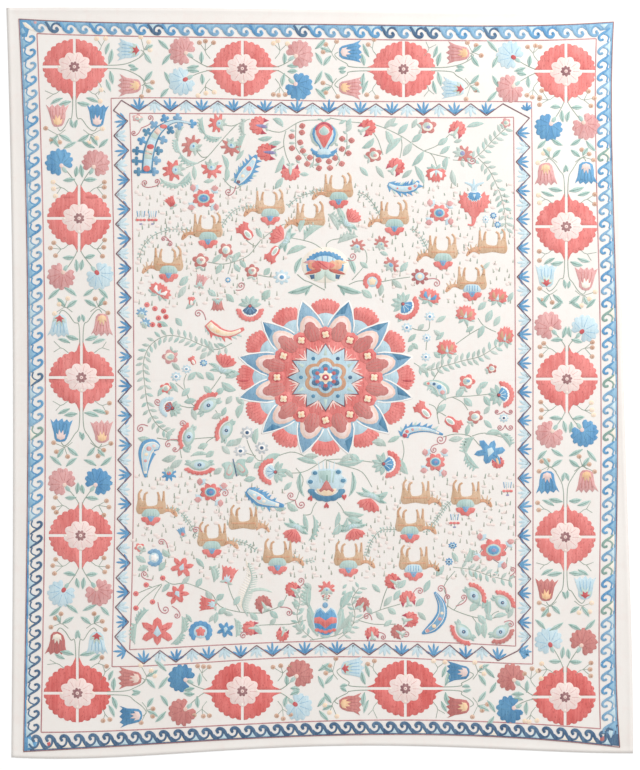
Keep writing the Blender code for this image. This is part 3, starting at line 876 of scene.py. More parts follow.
# Flowers. An outline is drawn upright, opening upward, in half widths and half heights.
TULIP = ((0, -1), (0.34, -0.94), (0.56, -0.72), (0.66, -0.25), (0.74, 0.25), (1.0, 0.86),
         (0.72, 0.66), (0.52, 0.92), (0.26, 0.70), (0.02, 0.98), (-0.26, 0.70), (-0.50, 0.92),
         (-0.72, 0.66), (-1.0, 0.88), (-0.76, 0.25), (-0.66, -0.25), (-0.56, -0.72),
         (-0.34, -0.94))
TULIP_FLAME = ((0, -0.86), (0.34, -0.72), (0.44, -0.30), (0.24, -0.42), (0.20, 0.02),
               (0.0, -0.30), (-0.18, 0.06), (-0.24, -0.42), (-0.42, -0.26), (-0.34, -0.72))
TULIP_CROWN = ((0, -0.95), (0.16, -0.78), (0.40, -0.62), (0.18, -0.58), (0.22, -0.30), (0, -0.46),
               (-0.2, -0.28), (-0.18, -0.58), (-0.40, -0.60), (-0.16, -0.78))
TULIP_SIZE = (76, 80)
CARNATION_SIZE = (97.0, 90.0)
CARNATION_LOBES = 11
CARNATION_SWEEP = 318.0
CARNATION_VALLEY = 0.86
RIBS = {"rose": "warm_rose", "blue": "deep_blue", "light_blue": "sky", "red": "deep_red",
        "warm_rose": "deep_rose", "strong_blue": "deep_blue", "strong_rose": "deep_rose"}
# Darker copies of silks that paint the shade over the bottom border
BOTTOM_SHADE_SILKS = {"red": "strong_red", "blue": "strong_blue", "warm_rose": "strong_rose",
                "rose": "warm_rose"}


def towards(start, end):
    """The clockwise turn, in degrees from straight up, of the way from start to end."""
    return math.degrees(math.atan2(end.x - start.x, end.y - start.y))


def tulip(work, middle, turn, silk, heart):
    """A tulip or bell with a toothed mouth and a flame or a small crown at its foot."""

    def down(points):
        return set_down(points, middle, *TULIP_SIZE, turn)

    lean = [(x + work.hand.uniform(-0.05, 0.05), y + work.hand.uniform(-0.04, 0.04))
            for x, y in TULIP]
    work.patch(silk, down(lean), 1)
    for x, top in ((-0.42, 0.55), (-0.14, 0.62), (0.14, 0.6), (0.42, 0.55)):
        work.line(RIBS[silk], down(((x * 0.6, -0.5), (x, 0.0), (x * 1.15, top))), 2.4, 2)
    if heart == "deep_red":
        work.patch("pale_green", down([(x * 1.4, y) for x, y in TULIP_FLAME]), 2)
        work.patch(heart, down([(x * 1.15, y) for x, y in TULIP_CROWN]), 3)
    else:
        work.patch(heart, down(TULIP_FLAME), 3)


def carnation_outline(lobes, sweep):
    """A round head of scalloped petals, open below where its eye meets the stem."""
    outline = [(0.10, -0.34)]
    steps = 3 * lobes
    for step in range(steps + 1):
        angle = math.radians(sweep / 2 - sweep * step / steps)
        rise = math.sin(math.pi * (step % 3) / 3)
        reach = CARNATION_VALLEY + (1 - CARNATION_VALLEY) * rise / SCALLOP_TOP
        outline.append((reach * math.sin(angle), reach * math.cos(angle)))
    outline.append((-0.10, -0.34))
    return outline


def carnation(work, middle, turn, silk, eye):
    """A carnation head with ribs, an eye and the green cup that holds it."""

    def down(points):
        return set_down(points, middle, *CARNATION_SIZE, turn)

    outline = [(x + work.hand.uniform(-0.03, 0.03), y + work.hand.uniform(-0.03, 0.03))
               for x, y in carnation_outline(CARNATION_LOBES, CARNATION_SWEEP)]
    work.patch(silk, down(outline), 1)
    for degrees in (-105, -62, -22, 20, 60, 102):
        angle = math.radians(degrees + work.hand.uniform(-6, 6))
        ends = [(share * math.sin(angle), share * math.cos(angle) - 0.3 * (1 - share))
                for share in (0.25, 0.55, 0.82)]
        work.line(RIBS[silk], down(ends), 1.8, 2)
    spot, cup = down([(0, -0.34), (0, -0.78)])
    leaf(work, cup.lerp(spot, -0.5), cup.lerp(spot, 0.85), 13, layer=2, vein=None)
    if eye == "deep_red":
        work.disc(eye, spot, 15, 19, 4, turn)
    else:
        work.disc(eye, spot, 15, layer=4)


# Rosettes. Stems leave them along the level or the upright arms of their cross, where the red
# silk is drawn out in points.
Rosette = namedtuple("Rosette", "name x y width height level_points upright_points")
ROSETTES = (
    Rosette("rosette_top_1", -834, 1073, 216, 190, (0, 8), (0, 22)),
    Rosette("rosette_top_2", -263, 1067, 206, 190, (20, 22), (0, 0)),
    Rosette("rosette_top_3", 285, 1065, 216, 190, (22, 2), (0, 0)),
    Rosette("rosette_top_4", 837, 1058, 204, 188, (6, 0), (0, 14)),
    Rosette("rosette_left_1", -818, 558, 218, 190, (0, 0), (20, 20)),
    Rosette("rosette_left_2", -810, 17, 222, 186, (0, 0), (32, 26)),
    Rosette("rosette_left_3", -813, -520, 216, 190, (0, 0), (18, 20)),
    Rosette("rosette_right_1", 838, 530, 210, 190, (0, 0), (22, 22)),
    Rosette("rosette_right_2", 840, 12, 210, 190, (0, 0), (20, 22)),
    Rosette("rosette_right_3", 835, -525, 206, 190, (0, 0), (24, 24)),
    Rosette("rosette_bottom_1", -824, -1056, 228, 198, (0, 4), (26, 0)),
    Rosette("rosette_bottom_2", -263, -1049, 220, 196, (24, 24), (0, 0)),
    Rosette("rosette_bottom_3", 291, -1040, 220, 192, (24, 24), (0, 0)),
    Rosette("rosette_bottom_4", 834, -1069, 208, 192, (10, 0), (8, 0)),
)
ROSETTE_SCALLOPS = 7
ROSETTE_CROSS = 9.5
ROSETTE_HEART = 0.54
ROSETTE_ROOT = 0.45
ROSETTE_EYE = 38.0
# Darker red ellipses painted on some rosettes as the shade of creases across them
ShadeStreak = namedtuple("ShadeStreak", "rosette across down width height")
CREASE_SHADE_STREAKS = (
    ShadeStreak("rosette_top_3", 383.2, 81, 19, 66),
    ShadeStreak("rosette_left_2", 60.3, 366, 15, 62),
    ShadeStreak("rosette_left_1", 69, 197, 44, 10),
    ShadeStreak("rosette_left_1", 92, 197, 46, 12),
)


def with_bottom_shade(rosette, silk):
    """The silk of a rosette and its flowers: along the bottom border a darker copy, with painted
    shade.
    """
    return BOTTOM_SHADE_SILKS.get(silk, silk) if "bottom" in rosette.name else silk


def rosette_quadrant(half_width, half_height, level_point, upright_point):
    """Out along the level arm of the cross, round the scalloped rim and back down the other."""
    arm = ROSETTE_CROSS / 2

    def at(reach, angle):
        return half_width * reach * math.cos(angle), half_height * reach * math.sin(angle)

    outline = [(ROSETTE_ROOT * half_width, arm), (half_width + level_point, arm)]
    steps = 3 * ROSETTE_SCALLOPS
    first, last = (2 if level_point > 5 else 1), steps - (2 if upright_point > 5 else 1)
    for step in range(first, last + 1):
        angle = math.radians(90 * step / steps)
        reach = 0.945 + 0.055 * crest(step)
        outline.append(at(reach, angle))
    outline += [(arm, half_height + upright_point), (arm, ROSETTE_ROOT * half_height)]
    return outline + [at(ROSETTE_ROOT * 0.98, math.radians(degrees)) for degrees in (67, 45, 23)]


def rosette_piece(rosette):
    """A red scalloped rosette, open along its cross, with a pale heart and a plum eye."""
    work = Needlework(seed=round(abs(rosette.x) + abs(rosette.y)))
    middle = Vector((rosette.x, rosette.y))
    left, right = rosette.level_points
    up, down = rosette.upright_points
    for flip_x, flip_y, level, upright in ((1, 1, right, up), (-1, 1, left, up),
                                           (-1, -1, left, down), (1, -1, right, down)):
        quadrant = rosette_quadrant(rosette.width / 2, rosette.height / 2, level, upright)
        # Along the bottom border the red carries painted shade
        work.patch(with_bottom_shade(rosette, "red"),
                   [middle + Vector((flip_x * x, flip_y * y)) for x, y in quadrant])
    size = ROSETTE_HEART * Vector((rosette.width, rosette.height))
    work.patch("pale_peach", set_down(round_outline(9, 0.17, 54, 18), middle, *size), 1)
    for petal in range(9):
        for turn, silk in ((0, "pink"), (20, "rose")):
            angle = math.radians(18 + 40 * petal + turn)
            ray = Vector((size.x * math.cos(angle), size.y * math.sin(angle))) / 2
            work.line(silk, [middle + ray * 0.42, middle + ray * 0.84], (1.4, 2.0, 1.0), 2)
    for arm in (Vector((0, 0.42)), Vector((0, -0.42)), Vector((0.42, 0)), Vector((-0.42, 0))):
        end = middle + Vector((arm.x * size.x, arm.y * size.y)) * 1.12
        work.line("cream", [middle + (end - middle) * 0.84, end], 5.5, 2)
    eye = round_outline(8, 0.30, 32, work.hand.uniform(0, 45))
    work.patch("plum", set_down(eye, middle, ROSETTE_EYE, ROSETTE_EYE), 3)
    work.disc("pink", middle, 12, layer=4)
    work.disc("deep_rose", middle, 4, layer=5, steps=6)
    # Painted crease shade on some rosettes
    for streak in CREASE_SHADE_STREAKS:
        if streak.rosette == rosette.name:
            work.disc("worn_red", chart(streak.across, streak.down), streak.width, streak.height, 1)
    return work.sew(f"{rosette.name}_silk", "red_silk", [rosette.name])


# Border sprays. Each leaves an arm of a rosette and carries two flowers; its leaves are set out
# from the arm's end, in chart steps outward and to the side of the flower they belong to.
Spray = namedtuple("Spray", "turn kind first first_silk first_heart "
                            "second second_silk second_heart")
Y, R, W, P, K = "yellow", "deep_red", "cream", "pink", "peach"
BORDER_SPRAYS = {
    "rosette_top_1": (
        Spray(90, "tulip", (128.6, 50), "light_blue", R, (129.6, 85.7), "rose", Y),
        Spray(180, "tulip", (97.4, 115.3), "blue", P, (57.7, 115.3), "rose", Y)),
    "rosette_top_2": (
        Spray(270, "carnation", (181.4, 81.6), "light_blue", R, (182, 51), "rose", K),
        Spray(90, "carnation", (299.8, 54), "rose", K, (299.3, 86.7), "blue", P)),
    "rosette_top_3": (
        Spray(270, "tulip", (350.6, 87.8), "rose", Y, (350.6, 52), "blue", P),
        Spray(90, "tulip", (457.8, 53), "rose", Y, (452.7, 88.8), "light_blue", R)),
    "rosette_top_4": (
        Spray(270, "carnation", (509.6, 88.8), "rose", K, (509.6, 55), "light_blue", R),
        Spray(180, "carnation", (586, 126.5), "rose", K, (548.4, 127.6), "blue", P)),
    "rosette_left_1": (
        Spray(0, "carnation", (59, 162), "blue", P, (96, 163), "rose", K),
        Spray(180, "carnation", (100, 276), "light_blue", R, (61.2, 276.4), "rose", K)),
    "rosette_left_2": (
        Spray(0, "tulip", (59.2, 326), "light_blue", R, (102, 325), "rose", Y),
        Spray(180, "tulip", (102, 431.5), "rose", Y, (61.2, 430), "blue", P)),
    "rosette_left_3": (
        Spray(0, "carnation", (61.7, 481.4), "rose", K, (98.5, 481.4), "blue", P),
        Spray(180, "carnation", (99, 592.6), "rose", K, (61.2, 593.6), "light_blue", R)),
    "rosette_right_1": (
        Spray(0, "tulip", (545.8, 174.4), "rose", Y, (586, 173.4), "blue", P),
        Spray(180, "tulip", (586, 278.5), "rose", W, (546.3, 275.4), "light_blue", R)),
    "rosette_right_2": (
        Spray(0, "carnation", (547.9, 325.3), "rose", K, (585, 328.4), "light_blue", R),
        Spray(180, "carnation", (584.6, 433.5), "blue", P, (549.4, 434.5), "rose", K)),
    "rosette_right_3": (
        Spray(0, "tulip", (547.3, 482.4), "blue", P, (586.6, 481.4), "rose", Y),
        Spray(180, "tulip", (585, 587.5), "light_blue", R, (546.3, 589.6), "warm_rose", Y)),
    "rosette_bottom_1": (
        Spray(0, "tulip", (57, 643.6), "warm_rose", W, (97, 643.6), "light_blue", R),
        Spray(90, "tulip", (129.6, 678), "rose", K, (130.6, 716), "blue", P)),
    "rosette_bottom_2": (
        Spray(270, "carnation", (182, 712), "rose", K, (181.4, 678), "blue", P),
        Spray(90, "carnation", (299.8, 673), "rose", K, (298.8, 706.8), "light_blue", R)),
    "rosette_bottom_3": (
        Spray(270, "tulip", (350.6, 703.8), "rose", Y, (352.7, 668), "light_blue", R),
        Spray(90, "tulip", (457.8, 672), "blue", P, (457.8, 706.8), "warm_rose", Y)),
    "rosette_bottom_4": (
        Spray(270, "carnation", (509.6, 709.4), "blue", P, (510.6, 677), "rose", K),
        Spray(0, "carnation", (548.4, 640.5), "light_blue", R, (583.6, 641.5), "rose", K)),
}
SprayLeaf = namedtuple("SprayLeaf", "foot tip width")
TULIP_LEAVES = (
    SprayLeaf((1, 3.5), (4, 17), 17),
    SprayLeaf((22, 2.5), (30, 0.5), 13),
    SprayLeaf((37, 14), (45, 4), 16),
    SprayLeaf((38, 17), (47, 23), 15),
    SprayLeaf((-3, 12), (2, 24), 14),
)
CARNATION_LEAVES = (
    SprayLeaf((5, 5), (4, 17), 16),
    SprayLeaf((8, 3.5), (19, 1.5), 16),
    SprayLeaf((37, 20), (47, 30), 15),
    SprayLeaf((36, 15), (43, 3), 15),
)
TULIP_BERRIES = ((37, 17), (45, 15.6), (41, 23), (32.5, 28))
CARNATION_BERRIES = ((1, 18), (7, 25), (0.5, 26.5), (-7, 24.5))
SHOULDER_BERRIES = ((-7, 21), (-1.5, 26.5), (-10, 28.5))


def sprig(work, at, slip, places, silks):
    """A forked twig: its fork, then its ends, with a berry on each if it has silks."""
    u, v = places[0]
    node = at(u + slip, v)
    work.line("stem", [at(u + slip - 5, v - 8), at(u + slip - 1, v - 3), node], 2.2)
    for u, v in places[1:]:
        spot = at(u + slip, v) + work.shake(7)
        work.line("stem", [node, spot], 2.0)
        if silks:
            berry(work, spot, *silks)


def spray_frame(rosette, turn):
    """Where an arm of a rosette ends, with the ways outward and to the right of it."""
    out = heading(turn)
    reach = abs(out.x) * rosette.width / 2 + abs(out.y) * rosette.height / 2
    tips = (rosette.upright_points[0], rosette.level_points[1], rosette.upright_points[1],
            rosette.level_points[0])
    return Vector((rosette.x, rosette.y)) + out * (reach + tips[turn // 90]), out, right_of(out)


def border_spray(work, rosette, spray):
    """The two flowers of one arm, with their stems, leaves and berries."""
    end, out, aside = spray_frame(rosette, spray.turn)
    flowers = ((-1, spray.first, spray.first_silk, spray.first_heart),
               (1, spray.second, spray.second_silk, spray.second_heart))
    for hand, place, silk, heart in flowers:
        # Along the bottom border the flower's silk carries painted shade
        silk, middle = with_bottom_shade(rosette, silk), chart(*place)

        def at(u, v):
            return end + (out * u + aside * v * hand) * CHART_STEP

        if spray.kind == "tulip":
            foot = middle + out * TULIP_SIZE[1] * 0.5
            away = (middle - end).dot(aside) * hand / CHART_STEP
            far = (foot - end).dot(out) / CHART_STEP
            path = [at(-5, 1.6), at(8, 1.8), at(17, 3.0), at(far - 8, away * 0.32),
                    at(far, away * 0.58), at(far + 4, away * 0.84), at(far + 0.5, away)]
            work.line("stem", smooth(path, 4), 2.8)
            tulip(work, middle, spray.turn + 180 + work.hand.uniform(-4, 4), silk, heart)
            leaves, berries = TULIP_LEAVES, TULIP_BERRIES
            shift = (far - 36) * 0.35
        else:
            path = [at(-6, 1.6), at(0, 2.4), end.lerp(middle, 0.45) - out * 2, middle]
            work.line("stem", smooth(path, 4), 2.8)
            turn = towards(end - out * 12, middle)
            carnation(work, middle, turn + work.hand.uniform(-6, 6), silk, heart)
            leaves, berries = CARNATION_LEAVES, CARNATION_BERRIES
            shift = 0
        for one in leaves:
            move = shift if one.foot[0] > 20 else 0
            foot = at(one.foot[0] + move, one.foot[1]) + work.shake(3)
            tip = at(one.tip[0] + move, one.tip[1]) + work.shake(5)
            leaf(work, foot, tip, one.width, bow=work.hand.uniform(-3, 3))
        ripe = hand == 1 or work.hand.random() < 0.55
        silks = ("ochre", "deep_ochre") if ripe else ("pale_yellow", "peach")
        if spray.kind == "tulip":
            bare = work.hand.random() < 0.5
            sprig(work, at, 0, SHOULDER_BERRIES, None if bare else silks)
            sprig(work, at, shift, berries, silks)
        else:
            sprig(work, at, -4 if spray.turn % 180 == 0 else 0, berries, silks)


BORDER_SEEDS = {"top": 23, "right": 25, "bottom": 26, "left": 24}


def border_flowers(side, seed):
    """The flowers that grow from the rosettes of one side."""
    work = Needlework(seed)
    for rosette in ROSETTES:
        if f"_{side}_" in rosette.name:
            for spray in BORDER_SPRAYS[rosette.name]:
                border_spray(work, rosette, spray)
    return work.sew(f"border_flowers_{side}", "rose_silk")


# Medallion. Places on it are a share of its radius and an angle from its middle, and its shapes
# are given on one side of their own middle line, from the inside out.
MEDALLION_CENTRE = Vector((19.8, 17.5))
MEDALLION_WIDTH = 606.0
MEDALLION_HEIGHT = 534.0
MEDALLION_FOLDS = 12
FAN_FOOT = ((0.822, 0), (0.815, 3.4), (0.80, 6.8))
FAN_EDGE = 10.0
FAN_SCALLOPS = 8
SECTOR = ((0.58, 0), (0.60, 3.0), (0.72, 4.8), (0.80, 6.9), (0.817, 3.4), (0.824, 0))
PETAL = ((0.58, 0), (0.60, 12.5), (0.66, 13.0), (0.73, 11.0), (0.80, 8.2), (0.90, 4.4), (1.01, 0))
LINING = ((0.55, 0), (0.56, 9), (0.62, 12.2), (0.69, 9.8), (0.75, 7.0), (0.795, 3.6), (0.812, 0))
BLOSSOM = ((0.47, 0), (0.49, 6.0), (0.56, 8.4), (0.63, 8.0), (0.66, 5.4), (0.70, 4.4), (0.725, 2.0),
           (0.73, 0))
RING_OUTER, RING_INNER = 0.60, 0.27
DISC_PLACE, DISC_SIZE = 0.545, (62, 56)
STAR_TIP, STAR_VALLEY = 0.432, 0.302
EYE_PLACE = 0.276
PETAL_EDGE = 4.6


def medallion_point(share, degrees):
    """A place at a share of the medallion's radius, turned from its right side."""
    angle = math.radians(degrees)
    return MEDALLION_CENTRE + Vector((MEDALLION_WIDTH / 2 * share * math.cos(angle),
                                      MEDALLION_HEIGHT / 2 * share * math.sin(angle)))


def both_sides(half, middle):
    """A shape that is the same on both sides of its middle line, at an angle on the medallion."""
    one = [medallion_point(share, middle + spread) for share, spread in half]
    other = [medallion_point(share, middle - spread) for share, spread in reversed(half[1:-1])]
    return one + other


def medallion_fans():
    """Scalloped red fans over light blue sectors, with dark red painted shade along the main fold.
    """
    work = Needlework(seed=31)
    for fold in range(MEDALLION_FOLDS):
        middle = fold * 30
        work.patch("star_blue", both_sides(SECTOR, middle))
        foot = [medallion_point(share, middle + spread) for share, spread in reversed(FAN_FOOT)]
        foot += [medallion_point(share, middle - spread) for share, spread in FAN_FOOT[1:]]
        rim = []
        steps = 3 * FAN_SCALLOPS
        for step in range(steps + 1):
            spread = FAN_EDGE * (2 * step / steps - 1)
            crown = 0.925 + 0.062 * math.cos(math.pi / 2 * spread / FAN_EDGE)
            rim.append(medallion_point(crown + 0.02 * crest(step), middle + spread))
        work.patch("red", foot + rim, 1)
        for spread in (-7.5, -5, -2.5, 0, 2.5, 5, 7.5):
            rib = [medallion_point(0.85, middle + spread * 0.85),
                   medallion_point(0.94, middle + spread)]
            work.line("worn_red", rib, 2.0, 2)
    # Dark red lines along the main fold across the fans: painted shade of the crease
    for side in (-1, 1):
        fold = [Vector((MEDALLION_CENTRE.x + side * reach, 6)) for reach in (262, 282, 296)]
        work.line("deep_red", fold, (3, 9, 3), 3)
    return work.sew("medallion_fans", "red_silk",
                    [f"medallion_fan_{i + 1:02d}" for i in range(MEDALLION_FOLDS)])


def medallion_petals():
    """Pointed blue petals with white edges, each lined with peach."""
    work = Needlework(seed=32)
    for fold in range(MEDALLION_FOLDS):
        middle = 15 + fold * 30
        silk = "petal_blue" if work.hand.random() < 0.6 else "pale_petal_blue"
        work.patch(silk, both_sides(PETAL, middle))
        tip = [(share, spread) for share, spread in PETAL if share >= 0.80]
        if 15 <= middle <= 75 or 285 <= middle or work.hand.random() < 0.4:
            dark = [medallion_point(0.84, middle)]
            dark += [medallion_point(share + 0.004, middle + spread * 0.86)
                     for share, spread in tip]
            work.patch("deep_blue", dark, 1)
        work.patch("peach", both_sides(LINING, middle), 1)
        work.patch("pale_peach", both_sides([(share * 0.94 + 0.02, spread * 0.72)
                                             for share, spread in LINING], middle), 2)
        for side in (-1, 1):
            edge = [medallion_point(share, middle + side * spread) for share, spread in PETAL[2:]]
            work.line("white", edge, PETAL_EDGE, 3)
    return work.sew("medallion_petals", "blue_silk",
                    [f"medallion_petal_{i + 1:02d}" for i in range(MEDALLION_FOLDS)])


def medallion_circle(share, lobes=0, dent=0.0, steps=48):
    size = Vector((MEDALLION_WIDTH, MEDALLION_HEIGHT)) * share
    return set_down(round_outline(lobes, dent, steps), MEDALLION_CENTRE, *size)


def medallion_ring():
    """Twelve joined red discs and rose blossoms round a star."""
    work = Needlework(seed=33)
    work.patch("red", medallion_circle(RING_OUTER))
    for fold in range(MEDALLION_FOLDS):
        middle = fold * 30
        place = medallion_point(DISC_PLACE, middle)
        disc = round_outline(9, 0.10, 36, work.hand.uniform(0, 40))
        work.patch("red", set_down(disc, place, *DISC_SIZE), 2)
        work.patch("deep_red", set_down(round_outline(steps=12), place, 34, 32), 3)
        bloom = round_outline(4, 0.42, 24, 45 + work.hand.uniform(-20, 20))
        work.patch("pale_yellow", set_down(bloom, place, 28, 27), 4)
        work.disc("yellow", place, 8, layer=5, steps=6)
        work.patch("warm_rose", both_sides(BLOSSOM, middle + 15), 4)
        for spread in (-3.4, 0, 3.4):
            vein = [medallion_point(share, middle + 15 + spread) for share in (0.48, 0.56, 0.64)]
            work.line("worn_red", vein, 2.0, 5)
        root = middle + 15
        for spread, reach in ((-5.5, 0.385), (0, 0.415), (5.5, 0.385)):
            ends = [medallion_point(0.305, root), medallion_point(reach, root + spread)]
            work.line("pale_pink", ends, (4.5, 5.5, 2), 3)
        for spread in (-10, 10):
            ends = [medallion_point(0.31, root + spread * 0.12),
                    medallion_point(0.415, root + spread)]
            work.line("pale_pink", ends, 3.4, 3)
    return work.sew("medallion_ring_silk", "red_silk", ["medallion_ring"])


def star_outline(share_tip, share_valley):
    """The star's tips and valleys in turn, from the right side of the medallion."""
    return [medallion_point(share_valley if point % 2 else share_tip, 15 * point)
            for point in range(2 * MEDALLION_FOLDS)]


def medallion_star():
    """A light blue star with dark edges and six eyes."""
    work = Needlework(seed=34)
    work.patch("dark_plum", star_outline(STAR_TIP + 0.006, STAR_VALLEY + 0.008), 3)
    work.patch("star_blue", star_outline(STAR_TIP - 0.016, STAR_VALLEY - 0.004), 4)
    for fold in range(MEDALLION_FOLDS):
        if fold % 2:
            work.patch("pale_green", set_down([(0, 1), (0.7, -0.8), (-0.7, -0.8)],
                                              medallion_point(0.33, fold * 30), 18, 34,
                                              90 - fold * 30), 5)
        else:
            work.disc("navy" if fold in (0, 2) else "deep_blue",
                      medallion_point(EYE_PLACE, fold * 30), 14, 13, 5)
    return work.sew("medallion_star_silk", "light_blue_silk", ["medallion_star"])


def medallion_heart():
    """An ochre ring round a six-lobed blue flower with pink spots and a cream centre."""
    work = Needlework(seed=35)
    work.patch("orange", medallion_circle(0.252, lobes=6, dent=0.20, steps=60), 5)
    work.patch("star_blue", medallion_circle(0.204, lobes=6, dent=0.24, steps=60), 6)
    work.patch("blue", medallion_circle(0.172, lobes=6, dent=0.34, steps=60), 7)
    for lobe in range(6):
        degrees = 30 + 60 * lobe
        silk = "navy" if lobe in (3, 4, 5) else "deep_blue"
        work.disc(silk, medallion_point(0.140, degrees), 22, 18, 8)
        work.disc("lavender", medallion_point(0.125, degrees + 30), 10, 10, 8)
        work.disc("deep_rose", medallion_point(0.106, degrees), 16, 14, 9)
        work.disc("crimson", medallion_point(0.104, degrees), 9, 8, 10, steps=6)
    work.patch("cream", medallion_circle(0.086, lobes=6, dent=0.5), 11)
    work.patch("pale_yellow", medallion_circle(0.062, steps=16), 12)
    work.patch("crimson", medallion_circle(0.040, steps=12), 13)
    work.patch("white", medallion_circle(0.015, steps=8), 14)
    return work.sew("medallion_heart_silk", "blue_silk", ["medallion_heart"])


# Field flowers. Places and sizes are in steps of the chart. A turn is clockwise, and a flower
# that isn't turned opens upward.
BUD = ((0, -1), (0.46, -0.90), (0.66, -0.45), (0.56, 0.02), (0.70, 0.30), (1.0, 0.46),
       (0.80, 0.70), (0.62, 1.0), (0.36, 0.78), (0.12, 0.96), (0, 0.80))
BOWL = ((0, -0.62), (0.55, -0.74), (0.94, -0.42), (0.82, -0.12), (1.0, 0.16), (0.76, 0.34),
        (0.72, 0.68), (0.44, 0.60), (0.30, 0.94), (0.12, 0.72), (0, 0.96))
FAN_HEAD = ((0, -0.62), (0.40, -0.40), (0.82, -0.02), (1.0, 0.50), (0.76, 0.52), (0.66, 0.86),
            (0.40, 0.70), (0.22, 1.0), (0, 0.80))
CUP = ((0, -1.0), (0.46, -0.70), (0.70, -0.10), (0.62, 0.30), (0, 0.05))
LILY = ((0, -1.0), (0.2, -0.74), (0.26, -0.42), (0.7, -0.72), (0.98, -0.56), (0.86, -0.25),
        (0.54, 0), (0.9, 0.28), (1.0, 0.62), (0.66, 0.62), (0.32, 0.42), (0.24, 0.8), (0, 1.0))
SEPAL = ((0, -1), (0.8, -0.3), (0.75, 0.35), (0, 1))
TREFOIL = ((0, -1), (0.24, -0.62), (0.30, -0.36), (0.62, -0.52), (0.96, -0.30), (0.98, 0.12),
           (0.66, 0.34), (0.36, 0.22), (0.44, 0.60), (0.34, 0.94), (0, 1.04))


def mirrored(half):
    """A shape that is the same on both sides, from its right half."""
    return list(half) + [(-across, up) for across, up in reversed(half[1:-1])]


def whole(at, half, wide=1.0, tall=1.0, up=0.0):
    """The places of a mirrored shape on a flower, made wider or taller and moved up."""
    return [at(x * wide, y * tall + up) for x, y in mirrored(half)]


def on_flower(at, points):
    """Points drawn in half widths and half heights, put on a flower."""
    return [at(*point) for point in points]


def at_flower(middle, size, turn):
    """Places on a flower in its own half widths and half heights."""
    way = heading(turn)
    up, right = way * size[1] / 2, right_of(way) * size[0] / 2

    def place(across, upward):
        return middle + right * across + up * upward
    return place


def arc_band(at, middle, outer, inner, sweep, teeth):
    """A scalloped arc open below: its rim has teeth and its inside is smooth."""
    rim = []
    for step in range(3 * teeth + 1):
        angle = math.radians(sweep / 2 - sweep * step / (3 * teeth))
        reach = outer * (0.93 + 0.08 * math.sin(math.pi * (step % 3) / 3))
        rim.append(at(reach * math.sin(angle), middle + reach * math.cos(angle)))
    for step in range(13):
        angle = math.radians(sweep / 2 * 0.94 * (step / 6 - 1))
        rim.append(at(inner * math.sin(angle), middle + inner * math.cos(angle)))
    return rim


def leaf_fan(work, at, foot, reach, spreads, width, silk="green"):
    """Leaves that spread backward from the foot of a flower."""
    for spread in spreads:
        angle = math.radians(spread + work.hand.uniform(-5, 5))
        tip = at(reach * math.sin(angle), foot - reach * math.cos(angle))
        leaf(work, at(0, foot), tip, width, silk=silk, layer=2, bow=work.hand.uniform(-3, 3),
             vein="dull_green")


STAR_PETAL = ((0.60, 20), (0.96, 11), (1.04, -3), (0.66, -16))


def star_flower(work, middle, size, turn, silk, heart):
    """A ragged head with a pale heart, open towards the stem."""
    at = at_flower(middle, size, turn)
    outline = [(0.0, -0.40)]
    for petal in range(6):
        for reach, aside in STAR_PETAL:
            angle = math.radians(200 - 44 * petal + aside + work.hand.uniform(-4, 4))
            reach *= work.hand.uniform(0.92, 1.08)
            outline.append((reach * math.cos(angle), reach * math.sin(angle)))
    work.patch(silk, on_flower(at, outline), 1)
    leaf_fan(work, at, -0.25, 0.85, (-48, 4, 50), 12, "dull_green")
    work.disc("pale_green", at(0, -0.24), 0.46 * size[0], 0.40 * size[1], 3, turn)
    work.disc(heart, at(0, -0.10), 0.30 * size[0], 0.26 * size[1], 4, turn, steps=8)
    work.disc("mid_blue", at(0.05, -0.18), 0.11 * size[0], 0.13 * size[1], 5, steps=6)


def field_carnation(work, middle, size, turn, silk, heart):
    """A round scalloped head with two dark horns and a slot where its stem enters."""
    at = at_flower(middle, size, turn)
    outline = carnation_outline(9, 276.0)
    work.patch(silk, [at(x + work.hand.uniform(-0.03, 0.03), y) for x, y in outline], 1)
    for side in (-1, 1):
        horn = [at(side * 0.40, -0.46), at(side * 0.86, -0.40), at(side * 0.70, -1.0)]
        work.patch("crimson" if silk == "red" else "deep_rose", horn, 2)
        path = [at(side * 0.35, -0.1), at(side * 0.55, 0.3), at(side * 0.5, 0.7)]
        work.line(RIBS.get(silk, "deep_red"), path, 2.0, 2)
    slot = [at(-0.10, -0.90), at(-0.18, -0.3), at(0, 0.36), at(0.18, -0.3), at(0.10, -0.90)]
    work.patch("pale_green" if heart == "cream" else heart, smooth(slot, 2, closed=True), 3)
    leaf_fan(work, at, -0.85, 0.45, (-70, 70), 8, "dull_green")


def field_tulip(work, middle, size, turn, silk, heart):
    """A small tulip on two leaves."""
    at = at_flower(middle, size, turn)
    work.patch(silk, on_flower(at, TULIP), 1)
    work.patch(heart, on_flower(at, TULIP_FLAME), 3)
    leaf_fan(work, at, -0.75, 0.8, (-75, 75), 10, "dull_green")


def aster(work, middle, size, turn, silk, heart):
    """A round flower of eight petals."""
    work.patch(silk, set_down(round_outline(8, 0.40, 48, turn), middle, *size), 1)
    inner = "white" if silk in ("light_blue", "grey") else "light_blue"
    work.disc(inner, middle, 0.54 * size[0], 0.50 * size[1], 2)
    work.disc(heart, middle, 0.28 * size[0], 0.28 * size[1], 3, steps=8)


